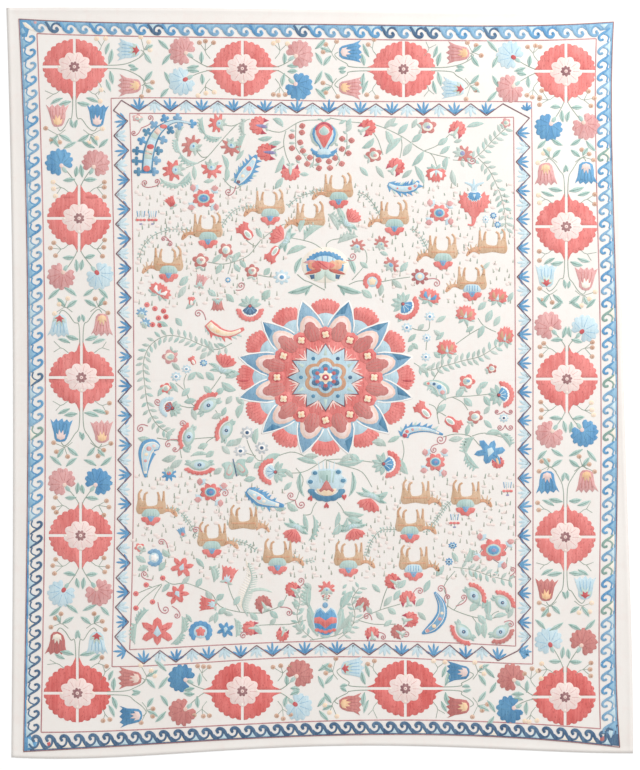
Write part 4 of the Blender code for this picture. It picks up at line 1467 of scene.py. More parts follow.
def knot_flower(work, middle, size, turn, silk, heart):
    """A small round flower of a few broad petals round a green and pink heart."""
    at = at_flower(middle, size, turn)
    work.patch(silk, set_down(round_outline(5, 0.34, 40, turn), middle, *size), 1)
    work.disc("cream", at(0.05, 0), 0.56 * size[0], 0.56 * size[1], 2)
    work.disc("dull_green", at(-0.12, -0.05), 0.36 * size[0], 0.40 * size[1], 3, steps=8)
    work.disc(heart, at(0.12, 0.10), 0.24 * size[0], 0.22 * size[1], 4, steps=6)
    leaf_fan(work, at, -0.8, 0.7, (-60, 40), 9, "dull_green")


def bud(work, middle, size, turn, silk, heart):
    """A closed bud with a pale opening at its foot."""
    at = at_flower(middle, size, turn)
    work.patch(silk, whole(at, BUD), 1)
    work.disc("white", at(0, -0.40), 0.36 * size[0], 0.56 * size[1], 2, turn)
    work.disc(heart, at(0, -0.40), 0.22 * size[0], 0.40 * size[1], 3, turn, steps=8)


def bowl(work, middle, size, turn, silk, heart):
    """A broad open flower: petals over a striped heart and a green collar."""
    at = at_flower(middle, size, turn)
    leaf_fan(work, at, -0.35, 1.0, (-68, -30, 28, 66), 13)
    work.patch(silk, whole(at, BOWL), 3)
    for side in (-1, 1):
        stripe = [at(side * 0.12, -0.40), at(side * 0.44, -0.1), at(side * 0.50, 0.36)]
        work.line(heart, stripe, (5, 13, 6), 4)
    work.patch("teal", [at(-0.18, -0.50), at(0, 0.30), at(0.18, -0.50)], 4)
    work.disc("light_blue", at(0, -0.34), 0.14 * size[0], 0.2 * size[1], 5, turn, steps=8)


def lens_flower(work, middle, size, turn, silk, heart):
    """A pale lens with a dark eye, leaves at both ends and a scalloped arc over one side."""
    at = at_flower(middle, size, turn)
    for side in (-1, 1):
        for spread in (62, 100):
            angle = math.radians(spread)
            start = at(side * 0.55, -0.2)
            tip = at(side * (0.55 + 0.62 * math.sin(angle)), -0.2 - 0.62 * math.cos(angle))
            leaf(work, start, tip, 13, layer=1, vein="dull_green")
    rim = [(-1.0, -0.10), (-0.6, 0.42), (0, 0.62), (0.6, 0.42), (1.0, -0.10), (0.55, -0.52),
           (0, -0.66), (-0.55, -0.52)]
    shape = smooth([at(x * 0.88, y * 0.95) for x, y in rim], 3, closed=True)
    work.patch("green", shape, 2)
    work.patch("pale_green", smooth([at(x * 0.72, y * 0.72) for x, y in rim], 2, closed=True), 3)
    work.disc(heart, at(0, 0), 0.46 * size[0], 0.42 * size[1], 4, turn)
    work.disc("navy", at(0, -0.02), 0.17 * size[0], 0.19 * size[1], 5, steps=8)
    work.disc("pink", at(0.02, 0), 4, 4, 6, steps=6)
    work.patch(silk, arc_band(at, -0.30, 1.44, 1.02, 120, 8), 5)


def half_moon(work, middle, size, turn, silk, heart):
    """A large scalloped arc over a scalloped fan, a dark eye and a cup of leaves."""
    at = at_flower(middle, size, turn)
    leaf_fan(work, at, -0.36, 0.82, (-84, -50, -16, 18, 52, 86), 17)
    work.patch("white", arc_band(at, -0.10, 0.66, 0.30, 172, 9), 3)
    work.patch(silk, arc_band(at, -0.06, 1.0, 0.62, 188, 11), 4)
    fan = [at(0, -0.42)]
    for step in range(15):
        angle = math.radians(166 - 152 * step / 14)
        reach = 0.52 + 0.05 * (step % 2)
        fan.append(at(reach * math.cos(angle), reach * math.sin(angle) - 0.14))
    work.patch(heart, fan, 4)
    for spread in (-42, 0, 42):
        angle = math.radians(spread)
        end = at(0.46 * math.sin(angle), -0.14 + 0.42 * math.cos(angle))
        work.line("light_blue" if heart == "blue" else "mid_blue", [at(0, -0.3), end], 2.6, 5)
    work.disc("dark_plum", at(0, -0.32), 14, 13, 6, steps=8)
    work.disc("deep_red", at(0, -0.30), 8, 8, 7, steps=6)


def flare(work, middle, size, turn, silk, heart):
    """A jagged fan over a striped cup between two long leaves."""
    at = at_flower(middle, size, turn)
    for side in (-1, 1):
        leaf(work, at(0, -1.35), at(side * 1.35, -0.75), 16, layer=1, bow=side * 8)
        leaf(work, at(side * 0.1, -1.2), at(side * 1.05, -1.5), 13, layer=1, bow=side * 5)
    work.patch(silk, whole(at, FAN_HEAD), 3)
    work.patch("teal", whole(at, CUP, 1.1, 0.55, -0.75), 4)
    for across in (-0.36, 0, 0.36):
        work.line(heart, [at(across * 0.4, -1.15), at(across, -0.72)], 4.0, 5)
    for across in (-0.5, -0.18, 0.2, 0.52):
        work.line("deep_red", [at(across * 0.5, -0.2), at(across, 0.5)], 2.0, 4)


def four_bud_flower(work, middle, size, turn, silk, heart):
    """A scalloped flower with two-coloured buds on curved twigs round it."""
    at = at_flower(middle, size, turn)
    for spread in (38, 128, 218, 308):
        angle = math.radians(spread + work.hand.uniform(-8, 8))
        place = at(1.24 * math.cos(angle), 1.34 * math.sin(angle))
        pointing = 90 - spread + turn
        work.patch("light_blue", set_down(mirrored(SEPAL), place, 20, 31, pointing + 70), 1)
        end = at(1.44 * math.cos(angle + 0.12), 1.54 * math.sin(angle + 0.12))
        work.patch("rose", set_down(mirrored(SEPAL), end, 24, 26, pointing + 30), 2)
        start = at(0.8 * math.cos(angle - 0.5), 0.8 * math.sin(angle - 0.5))
        work.line("dark_plum", [start, place], 2.0, 0)
    work.patch(silk, set_down(round_outline(8, 0.28, 48, 22), middle, *size), 3)
    work.disc("teal", middle, 0.56 * size[0], 0.54 * size[1], 4)
    work.disc(heart, middle, 0.42 * size[0], 0.40 * size[1], 5)
    work.disc("lavender", at(0.04, 0), 0.20 * size[0], 0.18 * size[1], 6, steps=6)


def lily(work, middle, size, turn, silk, heart):
    """Six pointed petals round a small diamond."""
    at = at_flower(middle, size, turn)
    work.patch(silk, whole(at, LILY), 2)
    work.patch(heart, [at(-0.26, -0.15), at(0, 0.42), at(0.26, -0.15), at(0, -0.40)], 3)
    for side in (-1, 1):
        vein = [at(side * 0.28, 0.1), at(side * 0.62, 0.24)]
        work.line(RIBS.get(silk, "navy"), vein, 2.6, 3)


def ring_flower(work, middle, size, turn, silk, heart):
    """Ragged petals all round a broad heart, open at the foot."""
    at = at_flower(middle, size, turn)
    work.patch(silk, arc_band(at, 0, 1.0, 0.56, 296, 11), 2)
    work.disc("light_blue", at(0, 0), 0.62 * size[0], 0.62 * size[1], 1)
    work.patch(heart, set_down(round_outline(5, 0.3, 30, turn), at(0, 0), 0.42 * size[0],
                               0.44 * size[1]), 3)


FLOWER_MAKERS = {
    "star": star_flower, "carnation": field_carnation, "tulip": field_tulip, "aster": aster,
    "knot": knot_flower, "bud": bud, "bowl": bowl, "lens": lens_flower, "moon": half_moon,
    "flare": flare, "four": four_bud_flower, "lily": lily, "ring": ring_flower}
Flower = namedtuple("Flower", "kind across down width height turn silk heart")
FLOWERS = tuple(Flower(*row) for row in (
    # upper left
    ("knot", 137.5, 118, 11, 8, -60, "rose", "rose"),
    ("star", 217.6, 123.4, 19, 18, -80, "red", "light_blue"),
    ("star", 191.8, 145.6, 22, 20, -55, "warm_rose", "light_blue"),
    ("star", 173.8, 170.4, 21, 23, -95, "red", "light_blue"),
    ("star", 211.8, 169, 21, 19, 180, "red", "light_blue"),
    ("star", 231, 146.8, 20, 18, 200, "warm_rose", "light_blue"),
    ("carnation", 258.6, 125.6, 19, 19, -80, "red", "lavender"),
    ("carnation", 266.4, 152.2, 18, 20, -85, "red", "lavender"),
    ("carnation", 290.5, 172.6, 20, 17, 180, "red", "cream"),
    ("four", 203.6, 198.4, 22.5, 18, 0, "red", "blue"),
    ("tulip", 171, 202, 11, 12, -30, "red", "deep_red"),
    ("bud", 245.4, 231.6, 16, 19, -40, "red", "pale_green"),
    ("flare", 279, 236, 21, 18, -60, "red", "light_blue"),
    ("knot", 225.8, 250.2, 15, 15, -30, "warm_rose", "light_blue"),
    ("knot", 200.6, 260.6, 17, 15, 0, "warm_rose", "rose"),
    ("bud", 272.8, 254.4, 14, 19, 215, "red", "pale_green"),
    ("knot", 252, 271, 15, 14, 0, "warm_rose", "rose"),
    ("tulip", 201, 281, 13, 14, 20, "rose", "teal"),
    ("aster", 228, 280, 6, 6, 0, "blue", "pale_yellow"),
    ("aster", 281.8, 277.2, 17, 15, 0, "light_blue", "blue"),
    ("bowl", 160.5, 290.6, 24, 15, 30, "red", "white"),
    ("bud", 191.4, 301, 8, 9, 0, "red", "cream"),
    ("tulip", 217.6, 305, 14, 13, 180, "warm_rose", "teal"),
    ("moon", 250, 310, 28, 25, 180, "red", "navy"),
    # upper right
    ("carnation", 367.7, 127.6, 17, 17, 60, "red", "cream"),
    ("knot", 374, 155, 17, 15, 60, "warm_rose", "rose"),
    ("carnation", 396, 166.4, 18, 17, 40, "red", "cream"),
    ("knot", 427.3, 126.4, 19, 16, 70, "warm_rose", "lavender"),
    ("carnation", 457.5, 129, 17, 17, 30, "red", "cream"),
    ("star", 463.4, 153.6, 16, 20, 100, "warm_rose", "lavender"),
    ("bowl", 436, 174.6, 21, 17, 180, "red", "white"),
    ("knot", 506, 123, 10, 10, 50, "rose", "pale_green"),
    ("four", 439.3, 213, 20, 17.5, 0, "red", "blue"),
    ("aster", 493.3, 215.7, 7, 7, 60, "blue", "light_blue"),
    ("aster", 497.5, 224.8, 7, 7, 20, "blue", "light_blue"),
    ("aster", 485.6, 219.5, 7, 9, 0, "light_blue", "mid_blue"),
    ("flare", 352, 217.5, 18, 17, 40, "red", "light_blue"),
    ("star", 357.4, 245.6, 15, 14, 20, "warm_rose", "light_blue"),
    ("star", 381.2, 243, 15, 14, 10, "warm_rose", "pale_green"),
    ("star", 391.4, 264.4, 16, 15, 40, "warm_rose", "mid_blue"),
    ("ring", 372.3, 281.6, 19, 18, 0, "red", "pale_yellow"),
    ("aster", 419.8, 276.6, 18, 17, 20, "deep_rose", "pale_yellow"),
    ("bowl", 430, 296, 22, 16, 20, "red", "blue"),
    ("bowl", 498, 296, 20, 17, 10, "red", "orange"),
    # left
    ("star", 142, 312.6, 11, 11, 10, "mid_blue", "light_blue"),
    ("star", 145.8, 323, 11, 10, 30, "mid_blue", "light_blue"),
    ("knot", 170.3, 356.8, 17, 15, 200, "rose", "teal"),
    ("bud", 192.6, 360.6, 8, 9, -30, "red", "cream"),
    ("aster", 203.6, 363, 8, 7, -30, "blue", "teal"),
    ("aster", 186.5, 369, 10, 9, 10, "light_blue", "mid_blue"),
    ("aster", 176.2, 376.6, 11, 10, 40, "light_blue", "mid_blue"),
    ("knot", 166, 388.2, 13, 11, -60, "red", "pale_green"),
    ("flare", 225, 362.5, 22, 17, 20, "red", "light_blue"),
    ("moon", 169.2, 407, 21, 22, -70, "light_blue", "deep_rose"),
    ("lens", 208.4, 405.2, 25, 20, -35, "red", "light_blue"),
    ("lens", 226.2, 430.4, 23, 19, -65, "red", "light_blue"),
    ("lens", 188.8, 436.8, 23, 19, -75, "red", "light_blue"),
    ("lens", 199.6, 465, 26, 18, 180, "red", "light_blue"),
    ("star", 169, 474, 15, 14, 180, "blue", "red"),
    ("aster", 247.2, 432.6, 14, 13, 0, "grey", "navy"),
    ("aster", 261.8, 447.8, 14, 13, 20, "grey", "navy"),
    ("aster", 240.5, 451, 14, 12, 40, "grey", "navy"),
    ("moon", 271, 471.6, 27, 28, -85, "red", "light_blue"),
    ("four", 210.6, 492, 21.5, 18, 10, "red", "blue"),
    # right
    ("moon", 406, 307, 29, 27, 135, "red", "blue"),
    ("aster", 429.8, 316.6, 11, 10, 0, "light_blue", "blue"),
    ("aster", 406.8, 327.6, 11, 10, 20, "light_blue", "blue"),
    ("aster", 426.6, 337.8, 9, 9, 30, "light_blue", "blue"),
    ("aster", 425.8, 357, 10, 9, 50, "light_blue", "blue"),
    ("bowl", 466, 313.6, 21, 18, 10, "red", "orange"),
    ("bowl", 505.4, 335.6, 17, 20, 10, "red", "orange"),
    ("bowl", 447, 347.8, 21, 18, 0, "red", "orange"),
    ("knot", 491.6, 368.6, 11, 10, 60, "warm_rose", "light_blue"),
    ("knot", 467, 381.4, 17, 15, 20, "red", "mid_blue"),
    ("moon", 502.6, 394.4, 27, 25, 80, "red", "blue"),
    ("bud", 423, 410.4, 15, 20, -45, "red", "pale_green"),
    ("bud", 453.3, 423.4, 15, 19, 125, "red", "pale_green"),
    ("knot", 475, 416.8, 16, 14, 30, "warm_rose", "light_blue"),
    ("aster", 503.8, 418, 10, 9, 0, "light_blue", "navy"),
    ("four", 435.4, 462, 20, 18, 0, "red", "blue"),
    ("moon", 388, 464.2, 28, 28, 95, "red", "blue"),
    ("lily", 490, 452, 28, 25, 200, "blue", "light_blue"),
    ("carnation", 498, 463, 13, 11, 160, "red", "yellow"),
    # lower left
    ("tulip", 182, 532, 9, 10, -20, "mid_blue", "red"),
    ("knot", 139.8, 547.4, 11, 9, -30, "red", "rose"),
    ("ring", 154.4, 557.6, 18, 17, 90, "mid_blue", "white"),
    ("lily", 182, 567, 21, 20, 20, "red", "light_blue"),
    ("lily", 177.6, 594, 21, 19, 150, "red", "light_blue"),
    ("tulip", 228.4, 574.6, 17, 18, 15, "red", "light_blue"),
    ("tulip", 207.6, 603.8, 16, 18, -85, "red", "light_blue"),
    ("lily", 157.4, 631.2, 31, 28, 0, "red", "light_blue"),
    ("ring", 200.6, 631.6, 24, 22, 0, "blue", "red"),
    ("lily", 225.6, 629.6, 16, 16, 190, "blue", "light_blue"),
    ("carnation", 292.4, 589, 15, 15, -60, "red", "cream"),
    ("carnation", 263, 603.6, 17, 17, -30, "warm_rose", "pale_green"),
    ("carnation", 250.6, 628, 15, 17, -90, "red", "pale_green"),
    ("carnation", 282.4, 634.6, 13, 14, 200, "red", "cream"),
    ("flare", 293.4, 534, 20, 17, 205, "red", "light_blue"),
    # lower right
    ("flare", 369.4, 503.4, 24, 17, 200, "red", "light_blue"),
    ("flare", 354.4, 533, 21, 15, 165, "red", "light_blue"),
    ("aster", 452.6, 545.4, 9, 7, 20, "blue", "navy"),
    ("aster", 449, 561.6, 8, 8, 0, "blue", "navy"),
    ("four", 493.4, 550, 27.5, 23, 10, "red", "blue"),
    ("lens", 473.8, 595.6, 22, 20, 50, "red", "light_blue"),
    ("lens", 502.6, 602.4, 22, 19, 40, "red", "light_blue"),
    ("lens", 463.6, 631.8, 24, 20, 225, "red", "light_blue"),
    ("lens", 500.6, 632, 22, 20, 150, "warm_rose", "light_blue"),
    ("carnation", 392, 580.8, 16, 15, -60, "red", "cream"),
    ("carnation", 407.6, 598.4, 17, 16, -10, "red", "cream"),
    ("carnation", 410.6, 619.4, 16, 16, 80, "red", "cream"),
    ("carnation", 372, 633, 15, 13, -10, "red", "cream"),
    ("carnation", 362.8, 603.8, 14, 14, 30, "warm_rose", "cream"),
    ("carnation", 397.6, 631.4, 15, 14, -60, "warm_rose", "cream"),
    ("star", 326.6, 588.4, 17, 15, 0, "red", "light_blue"),
    ("knot", 326, 596.6, 9, 6, 0, "warm_rose", "rose"),
))

# Thin stems through the field, as runs of places.
FIELD_STEMS = (
    ((186, 168), (199.7, 162), (207.8, 156.6), (226, 135.7), (238, 124), (250, 119)),
    ((196, 150), (202, 157), (207.8, 156.6)), ((225, 125), (232, 126), (238, 124)),
    ((268, 130), (276, 132), (284, 131), (301, 121.3), (321, 120)),
    ((290, 164), (286, 155), (283.7, 142), (286, 131)), ((277, 150), (281, 148), (284, 146)),
    ((208, 262), (220, 264), (232, 262.4), (249, 255), (260, 241), (276.6, 228), (285, 224)),
    ((229, 258), (231, 263), (228, 274)), ((246, 240), (255, 246), (260, 241)),
    ((258, 275), (272, 277), (285, 273)), ((322, 249), (314, 243.6), (304, 240.4), (292, 238)),
    ((326.4, 247), (327, 243.4), (332, 240), (340, 238.6)),
    ((330, 118), (352, 122), (376, 125), (401, 136), (424, 151), (450, 158)),
    ((383, 155), (378, 140), (372, 131)), ((400, 158), (402, 146), (401, 136)),
    ((436.5, 166), (434, 158), (430, 153)), ((450, 134), (438, 145), (424, 151)),
    ((352, 280), (361, 270), (366.6, 262), (366, 252), (361, 246.6)),
    ((381, 282), (396, 279), (410, 277)), ((370, 281), (358, 281), (349, 284.5)),
    ((442, 365), (436, 375), (432, 382)),
    ((439, 424), (437, 411), (441, 402), (452, 397), (470, 396), (490, 394)),
    ((452, 397), (462, 402), (468, 410)), ((429, 404), (435, 407), (438, 414)),
    ((446, 416), (441, 413), (437.5, 412)), ((443, 437), (455, 434), (470, 436), (480, 446)),
    ((472, 436), (485, 433), (505, 438)), ((400, 468), (404, 452), (402, 440)),
    ((326, 460), (345, 466), (362, 472), (372, 487)), ((326, 460), (345, 459), (372, 462)),
    ((337, 502), (340.6, 506), (344.6, 513)),
    ((316.6, 502), (313.4, 507), (310.6, 514), (303, 515)),
    ((326, 459), (317, 464.6), (308, 470), (300.6, 472.6)),
    ((300, 488), (298, 495), (295.3, 500), (285, 504)), ((300.6, 472.6), (292, 473), (284, 472.4)),
    ((162, 578), (172, 584), (186, 583), (200, 588)),
    ((136, 608), (142, 600), (151, 592), (160, 585)), ((152.6, 601.8), (156, 594), (162, 585)),
    ((146, 585), (152, 587)), ((136, 594), (150, 588), (162, 584)),
    ((200, 588), (212, 594), (220, 606), (240, 612), (262, 613)),
    ((228, 584), (232, 596), (240, 612)), ((262, 613), (280, 606), (287, 595)),
    ((240, 628), (262, 625), (290, 624), (306, 620)),
    ((310, 640), (340, 634), (358, 620), (380, 610), (400, 604)),
    ((380, 610), (384, 596), (388, 586)), ((358, 620), (374, 624), (396, 624)),
    ((447.6, 605.6), (454, 610), (471.9, 616.4), (488.6, 618.6), (507, 614.6)),
    ((454, 610), (460, 602), (464, 600)), ((489, 618.4), (494, 613), (499, 611)),
    ((472, 616.4), (477.5, 624)), ((455, 571), (444, 586), (448, 600), (446, 611)),
    ((157, 438), (180, 441), (197, 438.5), (217.6, 437)), ((180, 405.6), (190, 407.6), (199, 406)),
    ((215.5, 410), (218.5, 415), (221, 421)), ((213.5, 437.5), (207, 442), (203.5, 450)),
    ((180, 449), (181.6, 458)), ((296, 468), (303, 478), (301, 490)),
    ((221, 376), (214, 386), (206, 396)), ((176, 383), (186, 392), (190, 402), (200, 410)),
    ((186.5, 374), (184, 384), (190, 402)),
    ((247, 440), (252, 452), (262, 461), (290, 452), (304, 456)), ((262, 455), (262, 461)),
    ((246, 453), (256, 456)), ((429.8, 322), (428, 330), (418, 330), (412, 328)),
    ((426.6, 342), (426, 350)), ((478, 318), (484, 326), (496, 332)),
    ((456, 344), (470, 334), (484, 326)), ((466, 323), (470, 334)),
    ((246, 181), (238, 188), (230, 186), (223, 178))
)

# Leaves of the field: from foot to tip, how broad, and how far they bow to the left of that
# way. Most are 6 steps broad and straight.
Leaf = namedtuple("Leaf", "foot_x foot_y tip_x tip_y width bow", defaults=(6, 0))
FIELD_LEAVES = tuple(Leaf(*row) for row in (
    (199, 163, 180, 152, 4.6, 5), (181, 154, 177.5, 138, 4.6, 3), (178, 141, 184, 127, 4, 3),
    (222, 137, 204, 133, 4.6, 4), (206, 135, 202.5, 117, 4.6, 3), (190, 172, 178, 184, 6, 3),
    (182, 184.5, 160, 178, 4.6, 4), (194, 166, 195, 180, 5), (225, 182, 226, 166, 5, -2),
    (227, 170, 222, 155, 5, -2), (231, 180, 240, 178, 4), (241, 119, 246, 122, 3),
    (245, 119, 245, 136, 4.2, -3), (246, 134, 240, 152, 4.6, -3), (244, 150, 236, 161, 4),
    (273, 119, 283, 127, 6, 2), (272, 137, 258, 139, 5, 1), (281, 142, 268, 145, 5),
    (283, 156, 275, 173, 6, 2), (283, 178, 275, 189), (300, 174, 309, 174.5, 4),
    (204, 182, 214, 180, 4), (346.5, 127, 351, 118.5, 5), (352, 124, 346, 132, 5),
    (374, 138, 362, 148, 6, 2), (386, 131, 392, 146, 7, 1), (384, 128, 396, 118),
    (398, 134, 408, 124), (402, 138, 386, 154, 7, -2), (412, 143, 403, 156, 7),
    (412, 142, 422, 134), (424, 151, 412, 166, 6, 1), (438, 145, 448, 138),
    (440, 154, 450, 146, 5), (448, 157, 446, 170, 6, -2), (415, 166, 424, 184, 6, 1),
    (452, 170, 456, 186, 6, -1), (412, 128, 417, 119, 5), (412, 170, 402, 178, 5),
    (467, 127, 484, 123.5, 5, 1), (454, 142, 462, 140, 4), (391, 126, 398, 123.6, 3),
    (360, 167, 368, 176, 5), (376, 166, 384, 178, 5), (339, 124, 346, 120, 3),
    (304, 240, 323, 226, 7, 4), (306, 247, 287, 254.5, 6.5, -2), (300, 232, 306, 218, 6, 2),
    (232, 262, 240, 252), (222, 264, 216, 274), (212, 263, 222, 254, 5), (240, 260, 246, 268, 5),
    (234, 264, 240, 272, 5), (262, 238, 256, 228, 5), (264, 275, 270, 268),
    (188, 276, 180, 286, 7), (186, 286, 178, 298), (208, 290, 216, 296), (226, 294, 234, 302),
    (196, 300, 186, 309, 5), (176, 318, 182, 326), (158, 322, 168, 326, 5),
    (270, 290, 262, 300, 8), (338, 230, 328, 214, 7, -3), (344, 226, 336, 206, 6, -2),
    (338, 243, 358, 236.6, 7, 3), (313, 515, 308.6, 541, 4.5, 5), (304, 514, 307.5, 532, 5),
    (339, 512, 335, 527, 5, 1), (362, 290, 372, 298, 7), (382, 284, 380, 296),
    (392, 280, 402, 288), (400, 272, 408, 262), (388, 255, 380, 252, 4), (368, 268, 360, 262, 5),
    (478, 292, 470, 284), (486, 302, 478, 310), (508, 302, 513, 292, 5), (482, 270, 490, 262, 4),
    (484, 325, 478, 338), (486, 322, 492, 310, 7), (474, 326, 466, 332, 5), (494, 326, 500, 316),
    (436, 322, 446, 316, 5), (436, 340, 444, 332, 5), (416, 334, 408, 342, 5),
    (434, 352, 440, 358, 5), (478, 388, 488, 382), (437, 412, 446, 404), (446, 400, 438, 388),
    (456, 397, 464, 388, 7), (464, 398, 472, 406, 7), (478, 395, 480, 386), (484, 396, 490, 406),
    (484, 420, 492, 428, 5), (484, 414, 490, 406, 5), (469, 424, 466, 436, 5),
    (449, 440, 463, 438), (474, 437, 466, 455, 7, -4), (466, 452, 479, 468, 6.5, -3.2),
    (486, 434, 502, 434, 6, 2), (500, 434, 510, 447, 6, 3), (400, 458, 408, 474, 8, -2),
    (388, 442, 400, 436, 5), (372, 442, 386, 446, 8, 2), (350, 454, 360, 462, 7),
    (317, 463.5, 297, 458.5, 6, -1), (336, 463, 364, 460, 6, -2), (340, 462, 352, 454),
    (318, 456, 304, 456), (264, 460, 280, 454, 7), (256, 444, 258, 428, 7, 2),
    (242, 438, 232, 446), (238, 418, 244, 404, 7, 2), (196, 420, 192, 408), (212, 418, 222, 414),
    (198, 448, 208, 444), (176, 456, 162, 460, 7, 1), (182, 460, 170, 468, 7),
    (214, 474, 222, 468), (244, 480, 256, 478), (284, 490, 292, 482, 5),
    (226, 378, 240, 374, 8, 2), (222, 382, 236, 390, 8, -2), (214, 380, 206, 372, 7),
    (188, 380, 196, 372), (182, 396, 190, 388), (178, 392, 170, 382, 5), (158, 396, 164, 386, 5),
    (196, 400, 184, 402), (204, 386, 212, 394), (236, 440, 226, 446), (222, 446, 230, 454),
    (146, 551, 138, 546), (163, 549, 171, 555, 6, -2), (165, 562, 159, 571),
    (234.5, 618, 236, 637, 5, 3), (215, 623, 217, 612, 5), (233, 615, 223, 612, 5),
    (192, 622, 186, 614, 4), (209, 622, 215, 614, 4), (214, 352, 208, 344, 5),
    (207, 352, 200, 359, 5), (244, 404, 236, 397), (216, 394, 224, 388), (196, 372, 204, 379, 5),
    (180, 370, 172, 363, 5), (232, 396, 226, 404), (214, 451, 206, 457), (232, 462, 240, 469),
    (246, 462, 254, 457), (190, 452, 182, 447, 5), (172, 430, 166, 438, 5), (254, 468, 262, 462),
    (398, 322, 404, 314, 5), (414, 344, 408, 352, 5), (419, 366, 428, 373),
    (418, 330, 424, 324, 5), (434, 330, 442, 337, 5), (418, 349, 412, 343, 5),
    (170, 583, 162, 592, 5), (182, 584, 190, 576, 5), (196, 587, 202, 578), (206, 591, 212, 600),
    (216, 600, 224, 594), (226, 608, 218, 614), (234, 605, 240, 596), (250, 613, 258, 620),
    (270, 611, 278, 618), (278, 607, 284, 600, 5), (254, 626, 262, 634), (270, 625, 276, 618, 5),
    (296, 624, 302, 632), (292, 602, 300, 606, 5), (204, 567, 196, 558, 5),
    (214, 582, 210, 566, 6, -3), (146, 562, 136, 556), (148, 566, 138, 570),
    (135, 644, 137.5, 622, 5.5, 3), (136.5, 625, 149, 609.5, 5, 3), (171, 644, 182, 631, 5, -3),
    (181.5, 634, 182, 616, 5.5, -2.8), (318, 636, 309.5, 604, 9, 2), (309, 607, 311, 586, 8, 3),
    (311, 590, 303, 584, 5, -2), (335, 636, 341, 606, 9, -2), (341, 609, 353.5, 591, 8.5, 2),
    (338, 630, 353, 611, 6, -2), (150, 438.4, 138, 438, 6, 1), (191, 456, 209, 455, 4, 2.4),
    (476, 622, 478.5, 636, 7, 1.5), (485.6, 621, 485, 638, 7, -1.5), (489, 616, 490.5, 601, 7, 2),
    (494, 617, 507, 614.5, 5, 1), (222, 416, 226, 407, 5), (284, 470, 293, 478, 5, 1),
    (286, 508, 274, 504, 7, 2), (298, 510, 288, 502, 7, 2), (343, 511.5, 364, 514.5, 6, -2),
    (340, 524, 332, 534, 7, 2), (347, 518, 362.6, 523, 7), (347, 518, 340.5, 532, 5, 2),
    (376, 500, 388, 492), (464, 562, 470, 548, 6, -3), (458, 562, 452, 552, 5),
    (384, 606, 392, 596), (388, 608, 396, 614), (372, 614, 366, 606, 5), (376, 612, 384, 620),
    (398, 588, 406, 580), (394, 600, 400, 590), (380, 592, 372, 584, 5), (416, 606, 424, 598),
    (418, 612, 426, 620, 5), (384, 626, 392, 620, 5), (344, 632, 352, 626), (350, 628, 344, 618),
    (424, 592, 430, 580), (436, 576, 444, 566), (470, 611, 478, 602, 7), (478, 615, 486, 624, 7),
    (486, 614, 492, 620), (508, 618, 513, 608, 5), (482, 608, 488, 600)))

# Vines of small paired leaves: long ones, feathery fronds by the bottom palmette, and thin
# sprays between the deer. A leaf's size is its length and its breadth.
VINES = (
    ((232, 343), (217.6, 349.4), (202.5, 345.3), (186, 338.4), (166.9, 335.7), (150.4, 345.3),
     (143.5, 363), (144.9, 385), (149, 409.7), (158.6, 426.2), (172.4, 434.4)),
    ((414, 363), (428.3, 370), (444.7, 365.8), (463.9, 360.4), (480.4, 356.2), (497, 346)),
    ((452.9, 160), (470, 160), (482, 152), (493, 140), (506, 128)),
    ((478, 158), (489, 170), (499.6, 192), (504, 208), (506, 228)),
    ((453, 567), (472, 569.7), (488.6, 575.2), (511, 581)),
)
FRONDS = (
    ((314, 640), (302, 629), (297, 615), (300, 600), (293, 588)),
    ((338, 639), (350, 629), (355, 615), (352, 600), (359, 588)),
)
DEER_VINES = (
    ((191.6, 230.4), (178, 229), (166.9, 230.4), (153, 236), (143, 247), (139.4, 258)),
    ((254.7, 207), (243.7, 207), (234, 211), (226, 219.5), (216, 236)),
    ((324, 190), (309.5, 193.4), (298.6, 197.5), (287.6, 205.7)),
    ((380, 216), (374, 205), (366, 196), (358, 192)), ((428, 250), (420, 236), (412, 228)),
    ((166, 508), (180, 512), (190, 524), (196, 536)), ((228, 540), (244, 543), (256, 550)),
    ((292, 556), (302, 562), (312, 560)), ((456, 497), (446, 506), (436, 520), (426, 532)),
    ((400, 530), (382, 530), (372, 540), (366, 556)))
VineKind = namedtuple("VineKind", "runs pitch leaf_size foot")
VINE_KINDS = (VineKind(VINES, 5.2, (8.0, 3.3), -1), VineKind(FRONDS, 5.0, (7.4, 2.8), 0),
              VineKind(DEER_VINES, 2.6, (2.8, 1.7), 0))


def vine(work, run, pitch, size):
    """A thin stem with a small leaf on both sides at every step."""
    path = smooth(chart_run(run), 6)
    work.line("stem", path, 2.4)
    travelled = 0.0
    for start, end in zip(path, path[1:]):
        travelled += (end - start).length
        if travelled < pitch * CHART_STEP:
            continue
        travelled = 0.0
        ahead = (end - start).normalized()
        for side in (-1, 1):
            angle = math.radians(side * work.hand.uniform(48, 66))
            out = Vector((ahead.x * math.cos(angle) - ahead.y * math.sin(angle),
                          ahead.x * math.sin(angle) + ahead.y * math.cos(angle)))
            foot = end + out * 2
            tip = foot + out * size[0] * CHART_STEP * work.hand.uniform(0.85, 1.1)
            silk = work.hand.choice(("green", "dull_green", "dull_green"))
            leaf(work, foot, tip, size[1] * CHART_STEP, silk=silk, layer=0, vein=None)


